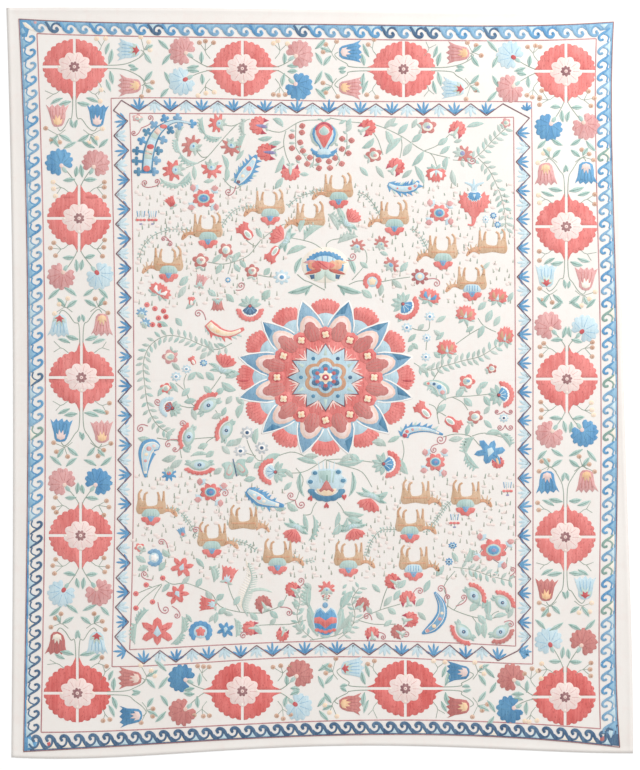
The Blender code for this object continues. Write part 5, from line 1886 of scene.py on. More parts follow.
# Curled tendrils: the middle of the curl, its size, where its tail ends and which way it curls
Curl = namedtuple("Curl", "across down size tail_x tail_y hand", defaults=(1,))
CURLS = tuple(Curl(*row) for row in (
    (150.4, 118, 6.5, 141.5, 128), (134, 133, 6, 141.5, 128, -1), (145, 183, 7, 152, 187, -1),
    (157, 181.6, 6, 152, 187), (228.6, 191.8, 8, 236, 186, -1), (241, 285.6, 8, 236, 290),
    (472.5, 160.4, 8, 466, 158), (352.6, 256.4, 8, 346, 260), (436.5, 283.4, 8, 428, 279, -1),
    (198.4, 313.6, 8.5, 206, 320), (157.7, 401.7, 7, 164, 404, -1), (140.8, 428.6, 8, 148, 426),
    (182.6, 423.5, 7, 186, 430), (168.4, 444.4, 7, 180, 440), (175, 449.2, 6, 182, 440, -1),
    (440.6, 439.6, 9.5, 446, 436, -1), (434, 449.6, 7.5, 438, 444), (225, 493, 8, 219, 490, -1),
    (291, 495.4, 7.5, 295.3, 500, -1), (301.4, 504.4, 8.5, 295.3, 500),
    (195.8, 530, 6.5, 202, 532), (161.4, 542, 7, 168, 548), (144.4, 574, 7, 152, 580, -1),
    (165.4, 609.4, 9, 158, 602), (177, 615.4, 7, 172, 606, -1), (289, 612.6, 7.5, 280, 607, -1),
    (301, 580.6, 7, 296, 588), (243.4, 635.4, 7, 250, 634), (419.8, 591, 7.5, 412, 596, -1),
    (440.8, 588.8, 8, 446, 596), (447.7, 597, 6, 446, 603, -1), (463.6, 597.4, 7, 456, 606),
    (366.6, 616.4, 7, 372, 620), (383, 637, 6, 378, 632, -1), (406.4, 633.6, 7, 400, 628),
    (512.6, 569.6, 6, 510, 576), (510.6, 624.2, 7, 504, 622, -1), (497, 411.6, 5, 503.7, 411, -1),
    (510.4, 411.6, 5, 503.7, 411), (500, 427.4, 6, 505.2, 425, -1), (510.4, 427.4, 6, 505.2, 425),
    (163.6, 239, 5, 170, 242), (170, 244, 5, 166, 240, -1)))


def curl(work, row):
    """A thin tendril that winds up into a curl."""
    middle, tail = chart(row.across, row.down), chart(row.tail_x, row.tail_y)
    size, reach = row.size * CHART_STEP / 2, (tail - middle).length
    start = math.atan2(tail.y - middle.y, tail.x - middle.x)
    path = []
    for step in range(24):
        angle = start + row.hand * math.radians(23 * step)
        spread = size * (1 - step / 26) ** 0.8
        radius = spread + (reach - spread) * 0.45 ** step
        path.append(middle + Vector((math.cos(angle), math.sin(angle))) * radius)
    work.line("curl", smooth(path, 2), 2.6, 2)
    work.disc("curl", path[-1], 5, 5, 3, steps=6)


# Curved leaf-shaped flowers: the line along their middle, their breadth along it, the silks of
# their edge and inside, their spikes on both sides and the spots along them
Boteh = namedtuple("Boteh", "spine breadths edge inside left_spikes right_spikes spots")
BOTEHS = (
    Boteh(((237, 184), (243, 176), (250, 167), (256.5, 155)), (5, 13, 15, 10, 2), "blue",
          "light_blue", 8, 8, ((0.35, 4, "pale_yellow"), (0.62, 5.5, "red"),
                               (0.12, 4, "dark_plum"))),
    Boteh(((208, 323), (214, 329), (222, 333), (232, 333.6), (244, 328.6)), (9, 12, 9, 6, 3),
          "red", "pale_yellow", 0, 9, ((0.18, 4.5, "cream"), (0.36, 4, "yellow"))),
    Boteh(((388, 184), (396, 188), (405, 189), (414, 187), (418.6, 181)), (3, 7, 9, 8, 2),
          "blue", "light_blue", 9, 7, ((0.62, 4, "red"), (0.78, 3.5, "rose"), (0.3, 2, "red"))),
    Boteh(((159.6, 447.6), (153, 446), (147.4, 451), (145.4, 463), (145.6, 477.5)),
          (4, 13, 19, 16, 9, 1.5), "blue", "light_blue", 0, 0,
          ((0.22, 4, "pink"), (0.42, 5.5, "rose"), (0.58, 4, "pale_yellow"), (0.72, 3.5, "rose"))),
    Boteh(((247, 490), (256, 496), (266, 502), (284, 506)), (4, 12, 15, 8, 3), "blue",
          "light_blue", 7, 8, ((0.45, 4.5, "red"), (0.62, 4, "cream"), (0.3, 3, "cream"))),
    Boteh(((443, 395), (441, 389), (434, 384), (423.5, 383.5)), (12, 16, 12, 7, 2), "green",
          "light_blue", 6, 0, ((0.15, 5, "rose"), (0.42, 5, "blue"), (0.68, 3.5, "navy"),
                               (0.85, 3, "red"))),
    Boteh(((404.5, 437), (407, 431.5), (416, 429), (428, 429.6), (443, 434.6)),
          (8, 9, 7.5, 5, 1.6), "blue", "light_blue", 9, 0,
          ((0.08, 5, "crimson"), (0.26, 4, "red"), (0.42, 3, "rose"), (0.6, 2.4, "pink"))),
    Boteh(((434.6, 592), (441, 603), (441.5, 615), (434, 626), (422, 633.6)),
          (2, 6.5, 9.5, 11.5, 10, 1.5), "blue", "mid_blue", 0, 0,
          ((0.45, 3.4, "pale_yellow"), (0.6, 4, "rose"), (0.74, 4.5, "pale_yellow"),
           (0.86, 4, "rose"))),
)


def boteh(work, row):
    """A curved leaf-shaped flower with spikes along it and spots inside."""
    path = smooth(chart_run(row.spine), 6)
    breadths = [CHART_STEP * share_along(row.breadths, i / (len(path) - 1))
                for i in range(len(path))]
    work.line(row.edge, path, breadths, 2)
    work.line("cream", path[1:-2], [0.62 * breadth for breadth in breadths[1:-2]], 3)
    work.line(row.inside, path[1:-3], [0.48 * breadth for breadth in breadths[1:-3]], 4)
    for side, spikes in ((1, row.left_spikes), (-1, row.right_spikes)):
        for spike in range(spikes):
            index = round((len(path) - 3) * (spike + 0.8) / (spikes + 0.6))
            ahead = (path[index + 1] - path[index]).normalized()
            aside = left_of(ahead) * side
            root = path[index] + aside * breadths[index] * 0.42
            tip = root + aside * work.hand.uniform(12, 17) + ahead * 11
            work.patch(work.hand.choice((row.edge, row.edge, "teal")),
                       [root - ahead * 8, root + ahead * 8, tip], 1)
    for share, size, silk in row.spots:
        place = path[round(share * (len(path) - 1))]
        work.disc(silk, place, size * CHART_STEP, size * CHART_STEP * 0.9, 5, steps=8)


BERRIES = ((302.3, 126), (302, 132.5), (291.7, 136.4), (300.3, 142.4), (292, 148.2), (303, 151),
           (298.5, 158), (310, 157.6), (307.3, 164), (318.6, 160.2), (319, 168.3), (329, 161.5),
           (330, 168), (342.2, 138.8), (351.6, 140.5), (342, 149), (348.5, 153.3), (335.3, 158),
           (341.8, 163.8))
ROUND_BERRIES = ((162.8, 578), (146.3, 584.8), (136, 593.6), (152.6, 601.8), (136, 608),
                 (155, 308.6), (163.6, 311), (158.6, 318), (152.6, 324.6), (166, 316.8),
                 (147, 304.8), (160, 325))
SPRIG_STEMS = (((296, 124), (295.6, 136), (296, 148), (300, 154)),
               ((302, 152), (308, 162), (314, 168)), ((314, 154), (313, 166)),
               ((336, 152), (340, 160), (336, 166)), ((347, 134), (347, 146), (344, 156)))
SPRIG_LEAVES = ((295, 131, 290, 130), (295, 143, 289, 143), (300, 148, 304, 146),
                (302, 154, 308, 155), (300, 163, 296, 160), (310, 168, 313, 162),
                (314, 165, 320, 164), (337, 155, 340, 161), (347, 149, 350, 145),
                (347, 134, 343, 131), (338, 146, 335, 143), (347, 140, 344, 142))


def pomegranate(work):
    """The large pomegranate under its blue crown, with a hooked tail."""
    middle, size = chart(474.3, 204), (31 * CHART_STEP, 30 * CHART_STEP)
    at = at_flower(middle, size, 180)
    half = ((0, -0.55), (0.30, -0.80), (0.44, -0.62), (0.66, -0.84), (0.74, -0.56), (0.98, -0.60),
            (0.90, -0.30), (1.06, -0.12), (0.86, 0.02), (0.90, 0.26), (0.66, 0.30), (0.62, 0.54),
            (0.40, 0.56), (0.26, 0.80), (0.1, 0.9), (0, 1.0))
    work.patch("red", whole(at, half), 2)
    for across in (-0.5, -0.25, 0.25, 0.5):
        work.line("warm_rose", [at(across, -0.3), at(across * 0.8, 0.2)], 2.4, 3)
    tail = [at(0.02, 0.8), at(0.05, 1.2), at(0.16, 1.42), at(0.42, 1.36)]
    work.line("red", smooth(tail), (20, 12, 7, 5), 2)
    work.patch("white", whole(at, BOWL, 0.50, 0.42, -0.52), 4)
    work.patch("blue", whole(at, BOWL, 0.44, 0.36, -0.52), 5)
    work.patch("light_blue", [at(-0.1, -0.64), at(0, -0.36), at(0.1, -0.64)], 6)
    for side in (-1, 1):
        flame = [at(side * 0.06, -0.72), at(side * 0.12, -1.2), at(side * 0.62, -1.44)]
        work.line("light_blue", smooth(flame), (16, 12, 9, 4), 1)
    work.line("light_blue", [at(0, -0.70), at(0.04, -1.66)], (14, 14, 8, 4), 1)


def butterfly(work):
    """A green two-lobed crest with rose edges."""
    middle, size = chart(235, 468), (26 * CHART_STEP, 21 * CHART_STEP)
    at = at_flower(middle, size, -12)
    for side in (-1, 1):
        wing = smooth([at(0, -0.2), at(side * 0.4, -0.9), at(side * 0.95, -0.7),
                       at(side * 0.8, 0.1), at(side * 0.95, 0.6), at(side * 0.3, 0.7)],
                      3, closed=True)
        work.patch("green", wing, 1)
        inner = smooth([at(side * 0.22, -0.2), at(side * 0.5, -0.6), at(side * 0.75, -0.4),
                        at(side * 0.55, 0.1), at(side * 0.3, 0.4)], 3, closed=True)
        work.patch("rose", inner, 2)
        work.patch("pale_green", [middle + (place - middle) * 0.8 + Vector((side * 3, 0))
                                  for place in inner], 3)
    work.line("navy", [at(0, -0.8), at(0, 0.9)], (4, 8, 3), 3)


def striped_plant(work, across, down):
    """A small plant of upright blue strokes over red scallops."""
    for offset in (-3, -1, 1, 3):
        foot, tip = (across + offset, down + 1), (across + offset * 1.3, down - 5)
        work.line("light_blue" if abs(offset) == 1 else "mid_blue",
                  [chart(*foot), chart(*tip)], (3, 5, 3), 1)
    for offset in (-3.5, 0, 3.5):
        work.disc("red", chart(across + offset, down + 4), 13, 9, 2, steps=8)
    work.disc("lavender", chart(across, down + 8), 12, 6, 1, steps=6)


def fern(work):
    """A pale fern: a bowed stem with many fine cream and green fronds, and a sickle leaf."""
    path = smooth([chart(*place) for place in ((248, 564), (252, 578), (246, 594), (243, 606),
                                               (248, 616))], 7)
    work.line("dull_green", path, (2, 6, 7, 4), 2)
    for index, place in enumerate(path[:-2]):
        for side in (-1, 1):
            reach = 25 * math.sin(math.pi * (index + 3) / (len(path) + 5))
            tip = place + Vector((side * reach, 12 if side < 0 else 4))
            work.line("cream" if side < 0 else "pale_green", [place, tip], (4, 3, 1.6), 0)
    sickle = [chart(*place) for place in ((248, 594), (255, 589.6), (264, 589.4), (272, 592))]
    work.line("pale_green", smooth(sickle), (3, 11, 9, 1.5), 1)


SPURRED = 2.8  # chart steps of bow from which a leaf has spurs


def spurs(work, row, silk):
    """Small points along the outer edge of a leaf that bows like a sickle."""
    foot, tip = chart(row.foot_x, row.foot_y), chart(row.tip_x, row.tip_y)
    run = tip - foot
    aside = left_of(run).normalized() * (1 if row.bow > 0 else -1)
    for share in (0.2, 0.36, 0.52, 0.68, 0.84):
        bow = abs(row.bow) * 4 * share * (1 - share)
        root = foot + run * share + aside * (bow + 0.2 * row.width) * CHART_STEP
        point = root + (aside * 0.62 * row.width + run.normalized() * 1.6) * CHART_STEP
        work.line(silk, [root, point], (11, 2.5), 1)


def field_flowers(seed, keep):
    """Flowers, leaves, stems and tendrils of one part of the field."""
    work = Needlework(seed)
    for run in FIELD_STEMS:
        if keep(*run[0]):
            work.line("stem", smooth(chart_run(run)), 2.6)
    for kind in VINE_KINDS:
        for run in kind.runs:
            if keep(*run[kind.foot]):
                vine(work, run, kind.pitch, kind.leaf_size)
    for row in FIELD_LEAVES:
        if keep(row.foot_x, row.foot_y):
            silk = work.hand.choice(("green", "green", "leaf_green", "dull_green"))
            leaf(work, chart(row.foot_x, row.foot_y), chart(row.tip_x, row.tip_y),
                 row.width * CHART_STEP, silk=silk, bow=row.bow * CHART_STEP, vein="dull_green")
            if abs(row.bow) >= SPURRED:
                spurs(work, row, silk)
    for flower in FLOWERS:
        if keep(flower.across, flower.down):
            size = (flower.width * CHART_STEP, flower.height * CHART_STEP)
            FLOWER_MAKERS[flower.kind](work, chart(flower.across, flower.down), size, flower.turn,
                                       flower.silk, flower.heart)
    for row in CURLS:
        if keep(row.across, row.down):
            curl(work, row)
    for row in BOTEHS:
        if keep(*row.spine[0]):
            boteh(work, row)
    return work


# Six parts of the field: two above the medallion, two beside it and two below it
FieldPart = namedtuple("FieldPart", "name seed left right top bottom")
FIELD_PARTS = (
    FieldPart("field_upper_left", 41, 0, 325, 0, 306),
    FieldPart("field_upper_right", 42, 325, 640, 0, 306),
    FieldPart("field_left", 43, 0, 325, 306, 500),
    FieldPart("field_right", 44, 325, 640, 306, 500),
    FieldPart("field_lower_left", 45, 0, 325, 500, 770),
    FieldPart("field_lower_right", 46, 325, 640, 500, 770),
)


def sew_field():
    """The parts of the field, each with its flowers and whatever it alone has."""
    pieces = []
    for part in FIELD_PARTS:
        name = part.name

        def keep(across, down):
            return part.left <= across < part.right and part.top <= down < part.bottom

        work = field_flowers(part.seed, keep)
        for place in ROUND_BERRIES:
            if keep(*place):
                work.disc("red", chart(*place), 19, 18, 1, steps=10)
                work.disc("crimson", chart(*place), 7, 7, 2, steps=6)
        if name == "field_upper_left":
            striped_plant(work, 141, 216)
            striped_plant(work, 152.5, 216)
            for place in BERRIES:
                turn = work.hand.uniform(-20, 20)
                blob = set_down(round_outline(4, 0.14, 16), chart(*place), 22, 20, turn)
                work.patch("warm_rose", blob, 1)
                work.disc("deep_rose", chart(*place), 6, 6, 2, steps=6)
            for run in SPRIG_STEMS:
                work.line("stem", chart_run(run), 2.4)
            for row in SPRIG_LEAVES:
                leaf(work, chart(*row[:2]), chart(*row[2:]), 9, silk="dull_green", vein=None)
        elif name == "field_upper_right":
            pomegranate(work)
        elif name == "field_left":
            butterfly(work)
        elif name == "field_lower_left":
            fern(work)
        elif name == "field_lower_right":
            striped_plant(work, 454.5, 519)
            striped_plant(work, 507.5, 487)
        pieces.append(work.sew(name, "red_silk"))
    return pieces


# Deer, legs upwards, with a saddle cloth and a scalloped flower below it. Places are in steps of
# the chart from the middle of the deer, x towards its tail and y down.
HERD_PARTING = 380
Deer = namedtuple("Deer", "across down facing saddle")
DEER = tuple(Deer(*row) for row in (
    (208, 229.7, -1, "teal"), (270.2, 206.4, -1, "teal"), (310.6, 218.5, -1, None),
    (168.6, 263.4, -1, "teal"), (338.6, 189.8, -1, "teal"), (394.4, 216.8, -1, "teal"),
    (443, 251, -1, "teal"), (492.6, 246, -1, None), (472, 282, -1, "light_blue"),
    (151, 506.5, 1, "teal"), (212, 538.8, 1, "teal"), (243.3, 522, 1, None),
    (277.6, 555.6, 1, "teal"), (415.5, 496.5, 1, None), (465.6, 497, 1, "teal"),
    (410, 524, 1, "teal"), (348.6, 558, 1, "teal"), (413.6, 562, 1, "light_blue")))
DEER_BODY = ((-13.4, 6.5), (-15, 2), (-14.6, -3), (-13.6, -8), (-11.8, -8.4), (-10.4, -5),
             (-9, -8), (-7, -7.6), (-6.2, -2.4), (-2, -0.6), (3.4, -0.8), (5, -4.6), (6, -8.2),
             (8.2, -5.4), (10.2, -8.8), (12.8, -8), (14, -2), (14.8, 3), (13, 7), (9, 7.4),
             (0, 6), (-9, 7.4))
DEER_LEGS = (((-12.8, -15.5), (-12.8, -11), (-12.5, -6)), ((-6.6, -14.5), (-7.8, -11), (-8.2, -6)),
             ((3.2, -14.2), (6, -12), (6.6, -6.5)), ((9, -17), (11.8, -13), (11.6, -7)))
DEER_NECK = ((-12, 4.6), (-16, 3.6), (-20, 4), (-23.5, 6.4), (-26, 10))
DEER_SADDLE = ((-7.8, 9.8), (-7.4, 4.6), (-4, 2.4), (3.4, 2.4), (7.4, 4.6), (8.2, 9.8))
DEER_FLOWER = ((-9.6, 11.6), (-5, 10.6), (0, 12.5), (5, 10.6), (9.8, 11.2), (8.4, 15),
               (5.6, 15.6), (4, 18.4), (0.6, 18), (-2.6, 19.2), (-5, 16.4), (-8, 15.4))


def deer(work, row):
    """One deer, legs upwards, with its saddle cloth and flower if it has them."""
    def places(points):
        return [chart(row.across - row.facing * x, row.down + y) for x, y in points]

    for leg in DEER_LEGS:
        work.line("deer", smooth(places(leg)), (6, 7.5, 11), 1)
        work.line("warm_deer", smooth(places(leg)), (1.5, 3, 4), 2)
    work.patch("deer", smooth(places(DEER_BODY), 3, closed=True), 1)
    work.line("warm_deer", smooth(places(((-12, 1), (-4, 1.4), (4, 1.4), (12, 1)))), 5, 2)
    neck = (15, 11, 11, 16, 6) if row.saddle else (28, 21, 14, 12, 5)
    work.line("warm_deer", smooth(places(DEER_NECK)), neck, 1)
    for ear in (((-21, 4), (-22, -1.5)), ((-18, 3), (-16, -2)), ((-22.6, 5), (-25.5, 1))):
        work.line("deer", places(ear), (6, 2), 2)
    work.disc("dark_plum", places(((-23, 6.2),))[0], 4, 4, 3, steps=6)
    if row.saddle:
        work.patch(row.saddle, smooth(places(DEER_SADDLE), 3, closed=True), 3)
        for across in (-5, -2.4, 0.2, 2.8, 5.4):
            work.line("green" if row.saddle == "teal" else "blue",
                      places(((across, 3.6), (across, 9))), 2.0, 4)
        work.patch("red", smooth(places(DEER_FLOWER), 2, closed=True), 3)
        heart = ((-3.4, 9.6), (3.4, 9.6), (1.8, 14), (0, 15.4), (-1.8, 14))
        work.patch("mid_blue", places(heart), 5)
        work.disc("lavender", places(((0, 12),))[0], 7, 7, 6, steps=6)


def deer_herd(name, seed, keep):
    """The deer above or below the medallion."""
    work = Needlework(seed)
    for row in DEER:
        if keep(row.down):
            deer(work, row)
    return work.sew(name, "tan_silk")


# Small tufts of grass scattered round the deer, with a faint pink blot beside some.
TUFT_ZONES = ((138, 188, 514, 300), (138, 478, 514, 576))
TUFT_PITCH = (8.4, 8.2)
TUFT_LIMIT = 515
MEDALLION_PLACE, MEDALLION_CLEARANCE = (325, 377), 90
PALMETTE_ZONES = ((285, 232, 372, 306), (285, 448, 372, 522))


def tuft_is_clear(place):
    """Whether a place is free of the medallion, the palmettes, the flowers and the deer."""
    if place[0] > TUFT_LIMIT or math.dist(place, MEDALLION_PLACE) < MEDALLION_CLEARANCE:
        return False
    if any(left < place[0] < right and top < place[1] < bottom
           for left, top, right, bottom in PALMETTE_ZONES):
        return False
    for flower in FLOWERS:
        reach = 0.58 * max(flower.width, flower.height)
        if math.dist(place, (flower.across, flower.down)) < reach:
            return False
    return not any(abs(place[0] - row.across) < 15 and -15 < place[1] - row.down < 18
                   for row in DEER)


def tufts():
    """Short blades of grass in uneven rows, some with a blot of colour."""
    work = Needlework(seed=61)
    hand = work.hand
    for left, top, right, bottom in TUFT_ZONES:
        rows = round((bottom - top) / TUFT_PITCH[1])
        columns = round((right - left) / TUFT_PITCH[0])
        for row in range(rows + 1):
            for column in range(columns + 1):
                place = (left + (column + row % 2 / 2) * TUFT_PITCH[0] + hand.uniform(-3, 3),
                         top + row * TUFT_PITCH[1] + hand.uniform(-3, 3))
                if not tuft_is_clear(place):
                    continue
                foot = chart(*place)
                tip = foot + Vector((hand.uniform(-3, 3), hand.uniform(9, 16)))
                work.line(hand.choice(("tuft", "tuft", "stem")), [foot, tip], (4.6, 2.2))
                if hand.random() < 0.35:
                    work.disc("tuft", foot, 7, 6, 1, steps=6)
                if hand.random() < 0.7:
                    blot = foot + Vector((hand.uniform(-16, 16), hand.uniform(-14, 12)))
                    work.disc("blush", blot, hand.uniform(10, 20), hand.uniform(7, 13), 0, steps=8)
    return work.sew("grass_tufts", "green_silk")


# Palmettes and the crescent


def palmette_top():
    """A dome round a green almond, on a blue scalloped foot."""
    work = Needlework(seed=71)
    at = at_flower(chart(324.1, 141), (25 * CHART_STEP, 35 * CHART_STEP), 0)
    halo = ((0, 1.02), (0.62, 0.94), (1.0, 0.68), (1.14, 0.36), (0.98, -0.05), (0.62, -0.30),
            (0, -0.30))
    work.patch("dull_green", whole(at, halo), 1)
    bell = ((0, 1.0), (0.55, 0.92), (0.88, 0.70), (0.96, 0.40), (0.80, 0.02), (0.44, -0.26),
            (0.32, -0.46), (0, -0.46))
    work.patch("blue", whole(at, bell), 2)
    work.patch("ice", whole(at, bell, 0.8, 0.9), 3)
    dome = ((0, 0.98), (0.44, 0.88), (0.66, 0.62), (0.62, 0.38), (0.36, 0.02), (0.14, -0.30),
            (0, -0.42))
    work.patch("pink", whole(at, dome, 1.08), 4)
    work.patch("red", whole(at, dome), 5)
    arch = smooth([at(-0.66, 0.62), at(-0.42, 0.90), at(0, 1.02), at(0.42, 0.90), at(0.66, 0.62)])
    work.line("crimson", arch, 8, 6)
    almond = ((0, 0.84), (0.28, 0.66), (0.36, 0.50), (0.2, 0.36), (0, 0.32))
    work.patch("pink", whole(at, almond, 1.25, 1.1, -0.05), 6)
    work.patch("teal", whole(at, almond), 7)
    foot = []
    for step in range(16):
        angle = math.radians(172 + 196 * step / 15)
        reach = 1.0 + 0.10 * (step % 2)
        foot.append(at(reach * math.cos(angle), -0.46 + 0.50 * reach * math.sin(angle)))
    foot += [at(0.84, -0.52), at(0.42, -0.66), at(0, -0.72), at(-0.42, -0.66), at(-0.84, -0.52)]
    work.patch("blue", foot, 3)
    work.patch("light_blue", whole(at, BOWL, 0.6, 0.24, -0.62), 4)
    for side in (-1, 1):
        loop = smooth([at(0, 1.02), at(side * 0.18, 1.2), at(side * 0.5, 1.26)])
        work.line("green", loop, (4, 6, 3), 2)
    return work.sew("palmette_top_silk", "blue_silk", ["palmette_top"])


def palmette_upper():
    """A scalloped dome over striped petals and a cup of leaves."""
    work = Needlework(seed=72)
    at = at_flower(chart(325, 265), (42 * CHART_STEP, 31 * CHART_STEP), 0)
    halo = set_down(round_outline(steps=24), at(0, 0), 47 * CHART_STEP, 36 * CHART_STEP)
    work.patch("cream", halo, 0)
    work.patch("blue", arc_band(at, -0.10, 1.0, 0.70, 156, 13), 2)
    dome = [at(0.76 * math.cos(math.radians(a)), -0.04 + 0.78 * math.sin(math.radians(a)))
            for a in range(0, 181, 15)]
    work.patch("light_blue", dome, 1)
    for across in (-0.36, -0.12, 0.12, 0.36):
        work.line("sky", [at(across, 0.15), at(across * 1.1, 0.6)], 4, 2)
    for side, inner_silk, tip_silk in ((-1, "red", "rose"), (1, "apricot", "yellow")):
        work.patch("blue", [at(side * 0.62, 0.1), at(side * 0.90, 0.0), at(side * 0.86, -0.42),
                            at(side * 0.5, -0.3)], 2)
        horn = [at(side * 0.45, 0.30), at(side * 0.7, 0.34), at(side * 1.04, 0.16),
                at(side * 0.6, 0.02)]
        work.patch(tip_silk, horn, 3)
        petal = set_down(mirrored(SEPAL), at(side * 0.36, -0.02), 50, 34, 0)
        work.patch(inner_silk, petal, 4)
        work.disc("apricot", at(side * 0.58, -0.04), 34, 30, 3)
        wing = smooth([at(side * 0.2, -0.26), at(side * 0.6, -0.32), at(side * 0.98, -0.60),
                       at(side * 0.64, -0.58), at(side * 0.26, -0.44)], 2, closed=True)
        work.patch("brick", wing, 4)
        work.patch("navy", [at(side * 0.50, -0.6), at(side * 0.74, -0.66), at(side * 0.66, -0.92),
                            at(side * 0.50, -0.88)], 2)
        leaf(work, at(0, -0.34), at(side * 0.50, -1.02), 27, silk="pale_green", layer=3, vein=None)
        leaf(work, at(side * 0.60, -1.30), at(side * 1.76, -1.78), 21, layer=2, bow=-side * 6)
        leaf(work, at(side * 0.70, -1.40), at(side * 0.92, -1.98), 13, layer=1, bow=side * 3)
        leaf(work, at(side * 1.12, 0.46), at(side * 1.42, -0.56), 18, layer=1, bow=side * 4)
        if side < 0:
            curve = [at(0, -1.62), at(-0.64, -1.16), at(-1.0, -0.96), at(-1.32, -0.6)]
            work.line("stem", smooth(curve), 2.8, 1)
    work.patch("red", smooth([at(-0.5, 0.26), at(0.1, 0.2), at(0.5, -0.02), at(0.1, -0.3),
                              at(-0.2, -0.2)], 2, closed=True), 5)
    work.line("crimson", [at(-0.3, 0.2), at(0.1, -0.2)], (3, 6, 3), 6)
    work.line("stem", [at(0, -0.4), at(0.02, -1.5)], 3, 3)
    return work.sew("palmette_upper_silk", "blue_silk", ["palmette_upper"])


def palmette_lower():
    """A pale crest with blue dots over a rose bell and a dark scalloped foot."""
    work = Needlework(seed=73)
    at = at_flower(chart(326.5, 486), (37 * CHART_STEP, 33 * CHART_STEP), 0)
    crest = ((0, 1.06), (0.4, 1.0), (0.68, 0.79), (0.92, 0.55), (0.98, 0.2), (0.86, -0.14),
             (0.4, -0.3), (0, -0.4))
    work.patch("light_blue", smooth(whole(at, crest), 2, closed=True), 1)
    for across, up, size in ((-0.62, 0.79, 17), (0.64, 0.85, 18), (-0.87, 0.26, 18),
                             (0.90, 0.33, 18)):
        work.disc("light_blue", at(across, up), size + 9, size + 6, 1)
        work.disc("deep_blue", at(across, up), size, 0.8 * size, 3, steps=10)
    work.patch("teal", [at(-0.38, 0.92), at(0.24, 0.96), at(0.16, 0.3), at(-0.06, 0.26),
                        at(-0.36, 0.5)], 2)
    for across in (-0.42, -0.22, 0, 0.22, 0.42):
        work.line("teal", [at(across * 0.8, 0.2), at(across, 0.9)], 5, 2)
    work.line("deep_green", [at(0.03, 0.2), at(0.03, 0.66)], 5, 3)
    bell = ((0, 0.34), (0.12, 0.20), (0.26, -0.10), (0.40, -0.24), (0.30, -0.36), (0.12, -0.22),
            (0, -0.28))
    cream = [at(0.54 * math.cos(math.radians(a)), -0.16 + 0.44 * math.sin(math.radians(a)))
             for a in range(180, 361, 15)]
    work.patch("pale_yellow", cream, 3)
    work.patch("warm_rose", whole(at, bell, 1.05, 1.05), 4)
    foot = []
    for step in range(36):
        angle = math.radians(174 + 192 * step / 35)
        reach = 0.95 + 0.07 * abs(math.sin(step * math.pi / 5))
        foot.append(at(reach * math.cos(angle), -0.24 + 0.70 * reach * math.sin(angle)))
    foot += [at(0.66 * math.cos(math.radians(a)), -0.20 + 0.42 * math.sin(math.radians(a)))
             for a in range(360, 179, -20)]
    work.patch("deep_blue", foot, 4)
    heart = mirrored(((0, -0.4), (0.3, -0.95), (0.85, -0.8), (0.8, -0.1), (0.35, 0.5), (0, 1)))
    for turn, place in ((20, (-0.86, -0.72)), (0, (0, -1.16)), (175, (0.96, -0.68))):
        work.patch("deep_red", set_down(heart, at(*place), 19, 20, turn), 5)
    for side in (-1, 1):
        leaf(work, at(side * 1.38, 0.85), at(side * 1.2, -0.64), 17, layer=1, bow=side * 12)
        for across in (0.14, 0.34):
            work.line("ice", [at(side * across, 0.7), at(side * across * 1.3, 1.5)], (6, 5, 2), 0)
    work.line("stem", [at(0, 1.6), at(0.02, 0.76)], 2.6, 1)
    return work.sew("palmette_lower_silk", "light_blue_silk", ["palmette_lower"])


def palmette_bottom():
    """A round bud with red and blue bands between feathery leaves."""
    work = Needlework(seed=74)
    at = at_flower(chart(325.5, 621.5), (23 * CHART_STEP, 27 * CHART_STEP), 0)
    shape = ((0, 0.62), (0.42, 1.0), (0.74, 0.84), (0.95, 0.42), (1, 0), (0.90, -0.45),
             (0.60, -0.80), (0.22, -1.0), (0, -1.0))
    work.patch("light_blue", whole(at, shape, 1.10, 1.06), 2)
    work.patch("blue", whole(at, shape), 3)
    band = ((0, 0.08), (0.5, 0.36), (0.98, 0.28), (0.98, -0.10), (0.5, -0.16), (0, -0.52))
    work.patch("red", whole(at, band), 4)
    for step in range(5):
        place = at(0.36 * (step - 2), -0.62 - 0.08 * (2 - abs(step - 2)))
        work.disc("red", place, 17, 12, 4, steps=8)
    for side in (-1, 1):
        crown = [at(side * 0.12, 0.62), at(side * 0.44, 0.9), at(side * 0.78, 0.66)]
        work.line("sky", smooth(crown), (3, 5, 3), 4)
    work.disc("mid_blue", at(-0.02, 1.22), 20, 20, 3, steps=8)
    work.disc("teal", at(0, -1.06), 34, 15, 2)
    for side in (-1, 1):
        leaf(work, at(side * 0.3, -1.1), at(side * 1.2, 0.3), 16, layer=1, bow=side * 20)
        for step in range(7):
            foot = at(side * (1.14 + 0.06 * step), -0.3 + 0.46 * step)
            tip = at(side * (1.14 + 0.06 * step + 0.34), 0.0 + 0.46 * step)
            leaf(work, foot, tip, 10, silk="green", layer=1, vein=None)
    return work.sew("palmette_bottom_silk", "blue_silk", ["palmette_bottom"])


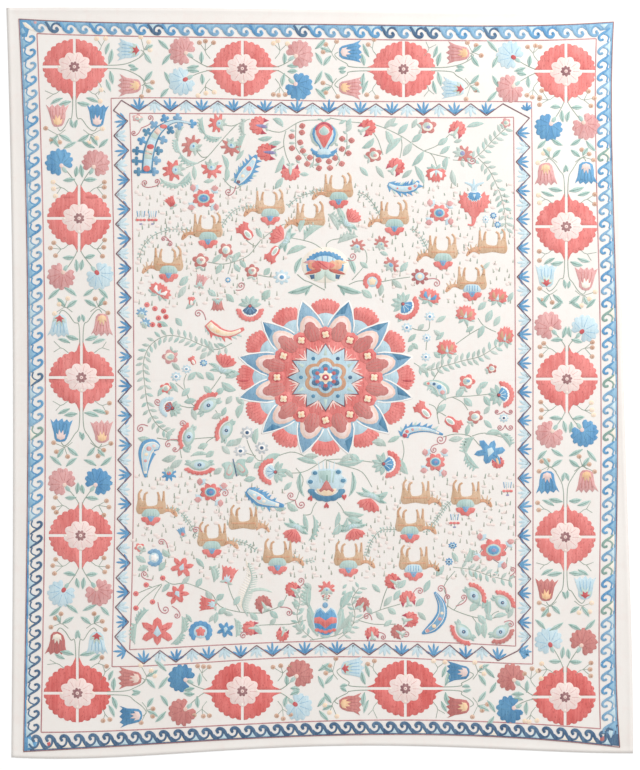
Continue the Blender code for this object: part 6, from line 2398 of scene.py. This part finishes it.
CRESCENT_SPINE = ((147, 172), (148, 159), (149.4, 151), (151.7, 142.7), (156, 134), (161, 128.4),
                  (168.8, 123.3), (176.5, 121.3), (186, 122.4), (191, 123.6))
CRESCENT_BREADTHS = (11, 11, 11.5, 10.6, 9.4, 8, 4.6, 3, 2, 1.6)
CRESCENT_SEGMENTS = (
    (0.10, 0.22, "pale_green"), (0.18, 0.30, "peach"), (0.26, 0.36, "light_blue"),
    (0.40, 0.48, "pale_green"), (0.44, 0.54, "peach"), (0.52, 0.62, "light_blue"))
CRESCENT_BERRIES = ((146.8, 168.6, 24, 21, "red"), (150.6, 146.8, 25, 18, "deep_red"),
                    (163.6, 126.6, 26, 15, "red"))
CRESCENT_TREFOILS = (
    (138.2, 171.8, -90), (136.2, 161, -90), (136.7, 150.9, -85), (141.8, 140.7, -65),
    (146.9, 132, -60), (154, 124.8, -45), (164.7, 118.7, -20), (177.5, 117.7, 5),
    (192.3, 123.8, 85), (154.5, 171.8, 95), (156.6, 160.6, 90), (158.6, 150.9, 90),
    (163.2, 140.1, 105), (170.4, 130.4, 125), (179, 125.9, 165))


def crescent():
    """The large crescent: a banded body with blue three-lobed leaves on both sides."""
    work = Needlework(seed=75)
    path = smooth(chart_run(CRESCENT_SPINE), 4)
    count = len(path) - 1
    breadths = [CHART_STEP * share_along(CRESCENT_BREADTHS, i / count) for i in range(count + 1)]
    for across, down, turn in CRESCENT_TREFOILS:
        middle = chart(across, down)
        near = min(path, key=lambda place: (place - middle).length)
        work.line("blue", [near, middle], 10, 1)
        silk = work.hand.choice(("blue", "blue", "mid_blue", "deep_blue"))
        work.patch(silk, set_down(mirrored(TREFOIL), middle, 31, 30, turn), 2)
    work.line("deep_blue", path, breadths, 2)
    work.line("light_blue", path[1:], [0.72 * breadth for breadth in breadths[1:]], 3)
    for start, end, silk in CRESCENT_SEGMENTS:
        run = slice(round(start * count), round(end * count) + 1)
        work.line(silk, path[run], [0.64 * breadth for breadth in breadths[run]], 4)
    for across, down, width, height, silk in CRESCENT_BERRIES:
        work.disc(silk, chart(across, down), width, height, 5)
    return work.sew("crescent_silk", "blue_silk", ["crescent"])


# Floor, light and camera
FLOOR_SIZE = 16.0
FLOOR_DROP = 0.0005
FLOOR_COLOUR = (0.95, 0.95, 0.95, 1.0)
FLOOR_GLOW = 0.14
FLOOR_ROUGHNESS = 0.9
WHITE = (1.0, 1.0, 1.0, 1.0)
SKY_STRENGTH = 0.68
SUN_POWER = 1.02
SUN_BREADTH = 25
SUN_TILT = (-38, 32)
WINDOW_PLACE = Vector((2.0, 1.9, 1.7))
WINDOW_POWER = 34.0
WINDOW_SIZE = 1.2
CAMERA_HEIGHT = 7.4
VIEW_MIDDLE = (320, 385)
VIEW_HEIGHT = 770 * CHART_STEP * MM
SENSOR = 36.0


def plain_floor():
    bm = bmesh.new()
    bmesh.ops.create_grid(bm, x_segments=1, y_segments=1, size=FLOOR_SIZE / 2)
    mesh = bpy.data.meshes.new("floor")
    bm.to_mesh(mesh)
    bm.free()
    material = bpy.data.materials.new("floor")
    material.use_nodes = True
    shader = material.node_tree.nodes["Principled BSDF"]
    shader.inputs["Base Color"].default_value = FLOOR_COLOUR
    shader.inputs["Emission Color"].default_value = WHITE
    shader.inputs["Emission Strength"].default_value = FLOOR_GLOW
    shader.inputs["Roughness"].default_value = FLOOR_ROUGHNESS
    mesh.materials.append(material)
    floor = bpy.data.objects.new("floor", mesh)
    floor.location.z = -FLOOR_DROP
    bpy.context.collection.objects.link(floor)


def studio():
    """Soft light all round, a broad sun from the upper right, and a long lens straight above."""
    world = bpy.data.worlds.new("studio")
    bpy.context.scene.world = world
    world.use_nodes = True
    sky = world.node_tree.nodes["Background"]
    sky.inputs["Color"].default_value = WHITE
    sky.inputs["Strength"].default_value = SKY_STRENGTH
    lamp = bpy.data.lights.new("key", "SUN")
    lamp.energy = SUN_POWER
    lamp.angle = math.radians(SUN_BREADTH)
    key = bpy.data.objects.new("key", lamp)
    key.rotation_euler = (*map(math.radians, SUN_TILT), 0)
    bpy.context.collection.objects.link(key)
    lamp = bpy.data.lights.new("window", "AREA")
    lamp.energy = WINDOW_POWER
    lamp.size = WINDOW_SIZE
    window = bpy.data.objects.new("window", lamp)
    window.location = WINDOW_PLACE
    window.rotation_euler = (-WINDOW_PLACE).to_track_quat("-Z", "Y").to_euler()
    bpy.context.collection.objects.link(window)
    data = bpy.data.cameras.new("camera")
    data.sensor_width = SENSOR
    data.lens = SENSOR * CAMERA_HEIGHT / VIEW_HEIGHT
    camera = bpy.data.objects.new("camera", data)
    middle = chart(*VIEW_MIDDLE) * MM
    camera.location = (middle.x, middle.y, CAMERA_HEIGHT)
    bpy.context.collection.objects.link(camera)
    bpy.context.scene.camera = camera
    bpy.context.scene.view_settings.view_transform = "Standard"


cloth = ground_cloth()
embroidery = [wave_border(), border_rule_piece(), field_rules_piece(), zigzag_band()]
embroidery += [rosette_piece(rosette) for rosette in ROSETTES]
embroidery += [border_flowers(side, seed) for side, seed in BORDER_SEEDS.items()]
embroidery += [medallion_fans(), medallion_petals(), medallion_ring(), medallion_star(),
               medallion_heart()]
embroidery += sew_field()
embroidery += [deer_herd("upper_deer", 51, lambda down: down < HERD_PARTING),
               deer_herd("lower_deer", 52, lambda down: down >= HERD_PARTING),
               tufts(), palmette_top(), palmette_upper(), palmette_lower(), palmette_bottom(),
               crescent()]

plain_floor()
studio()
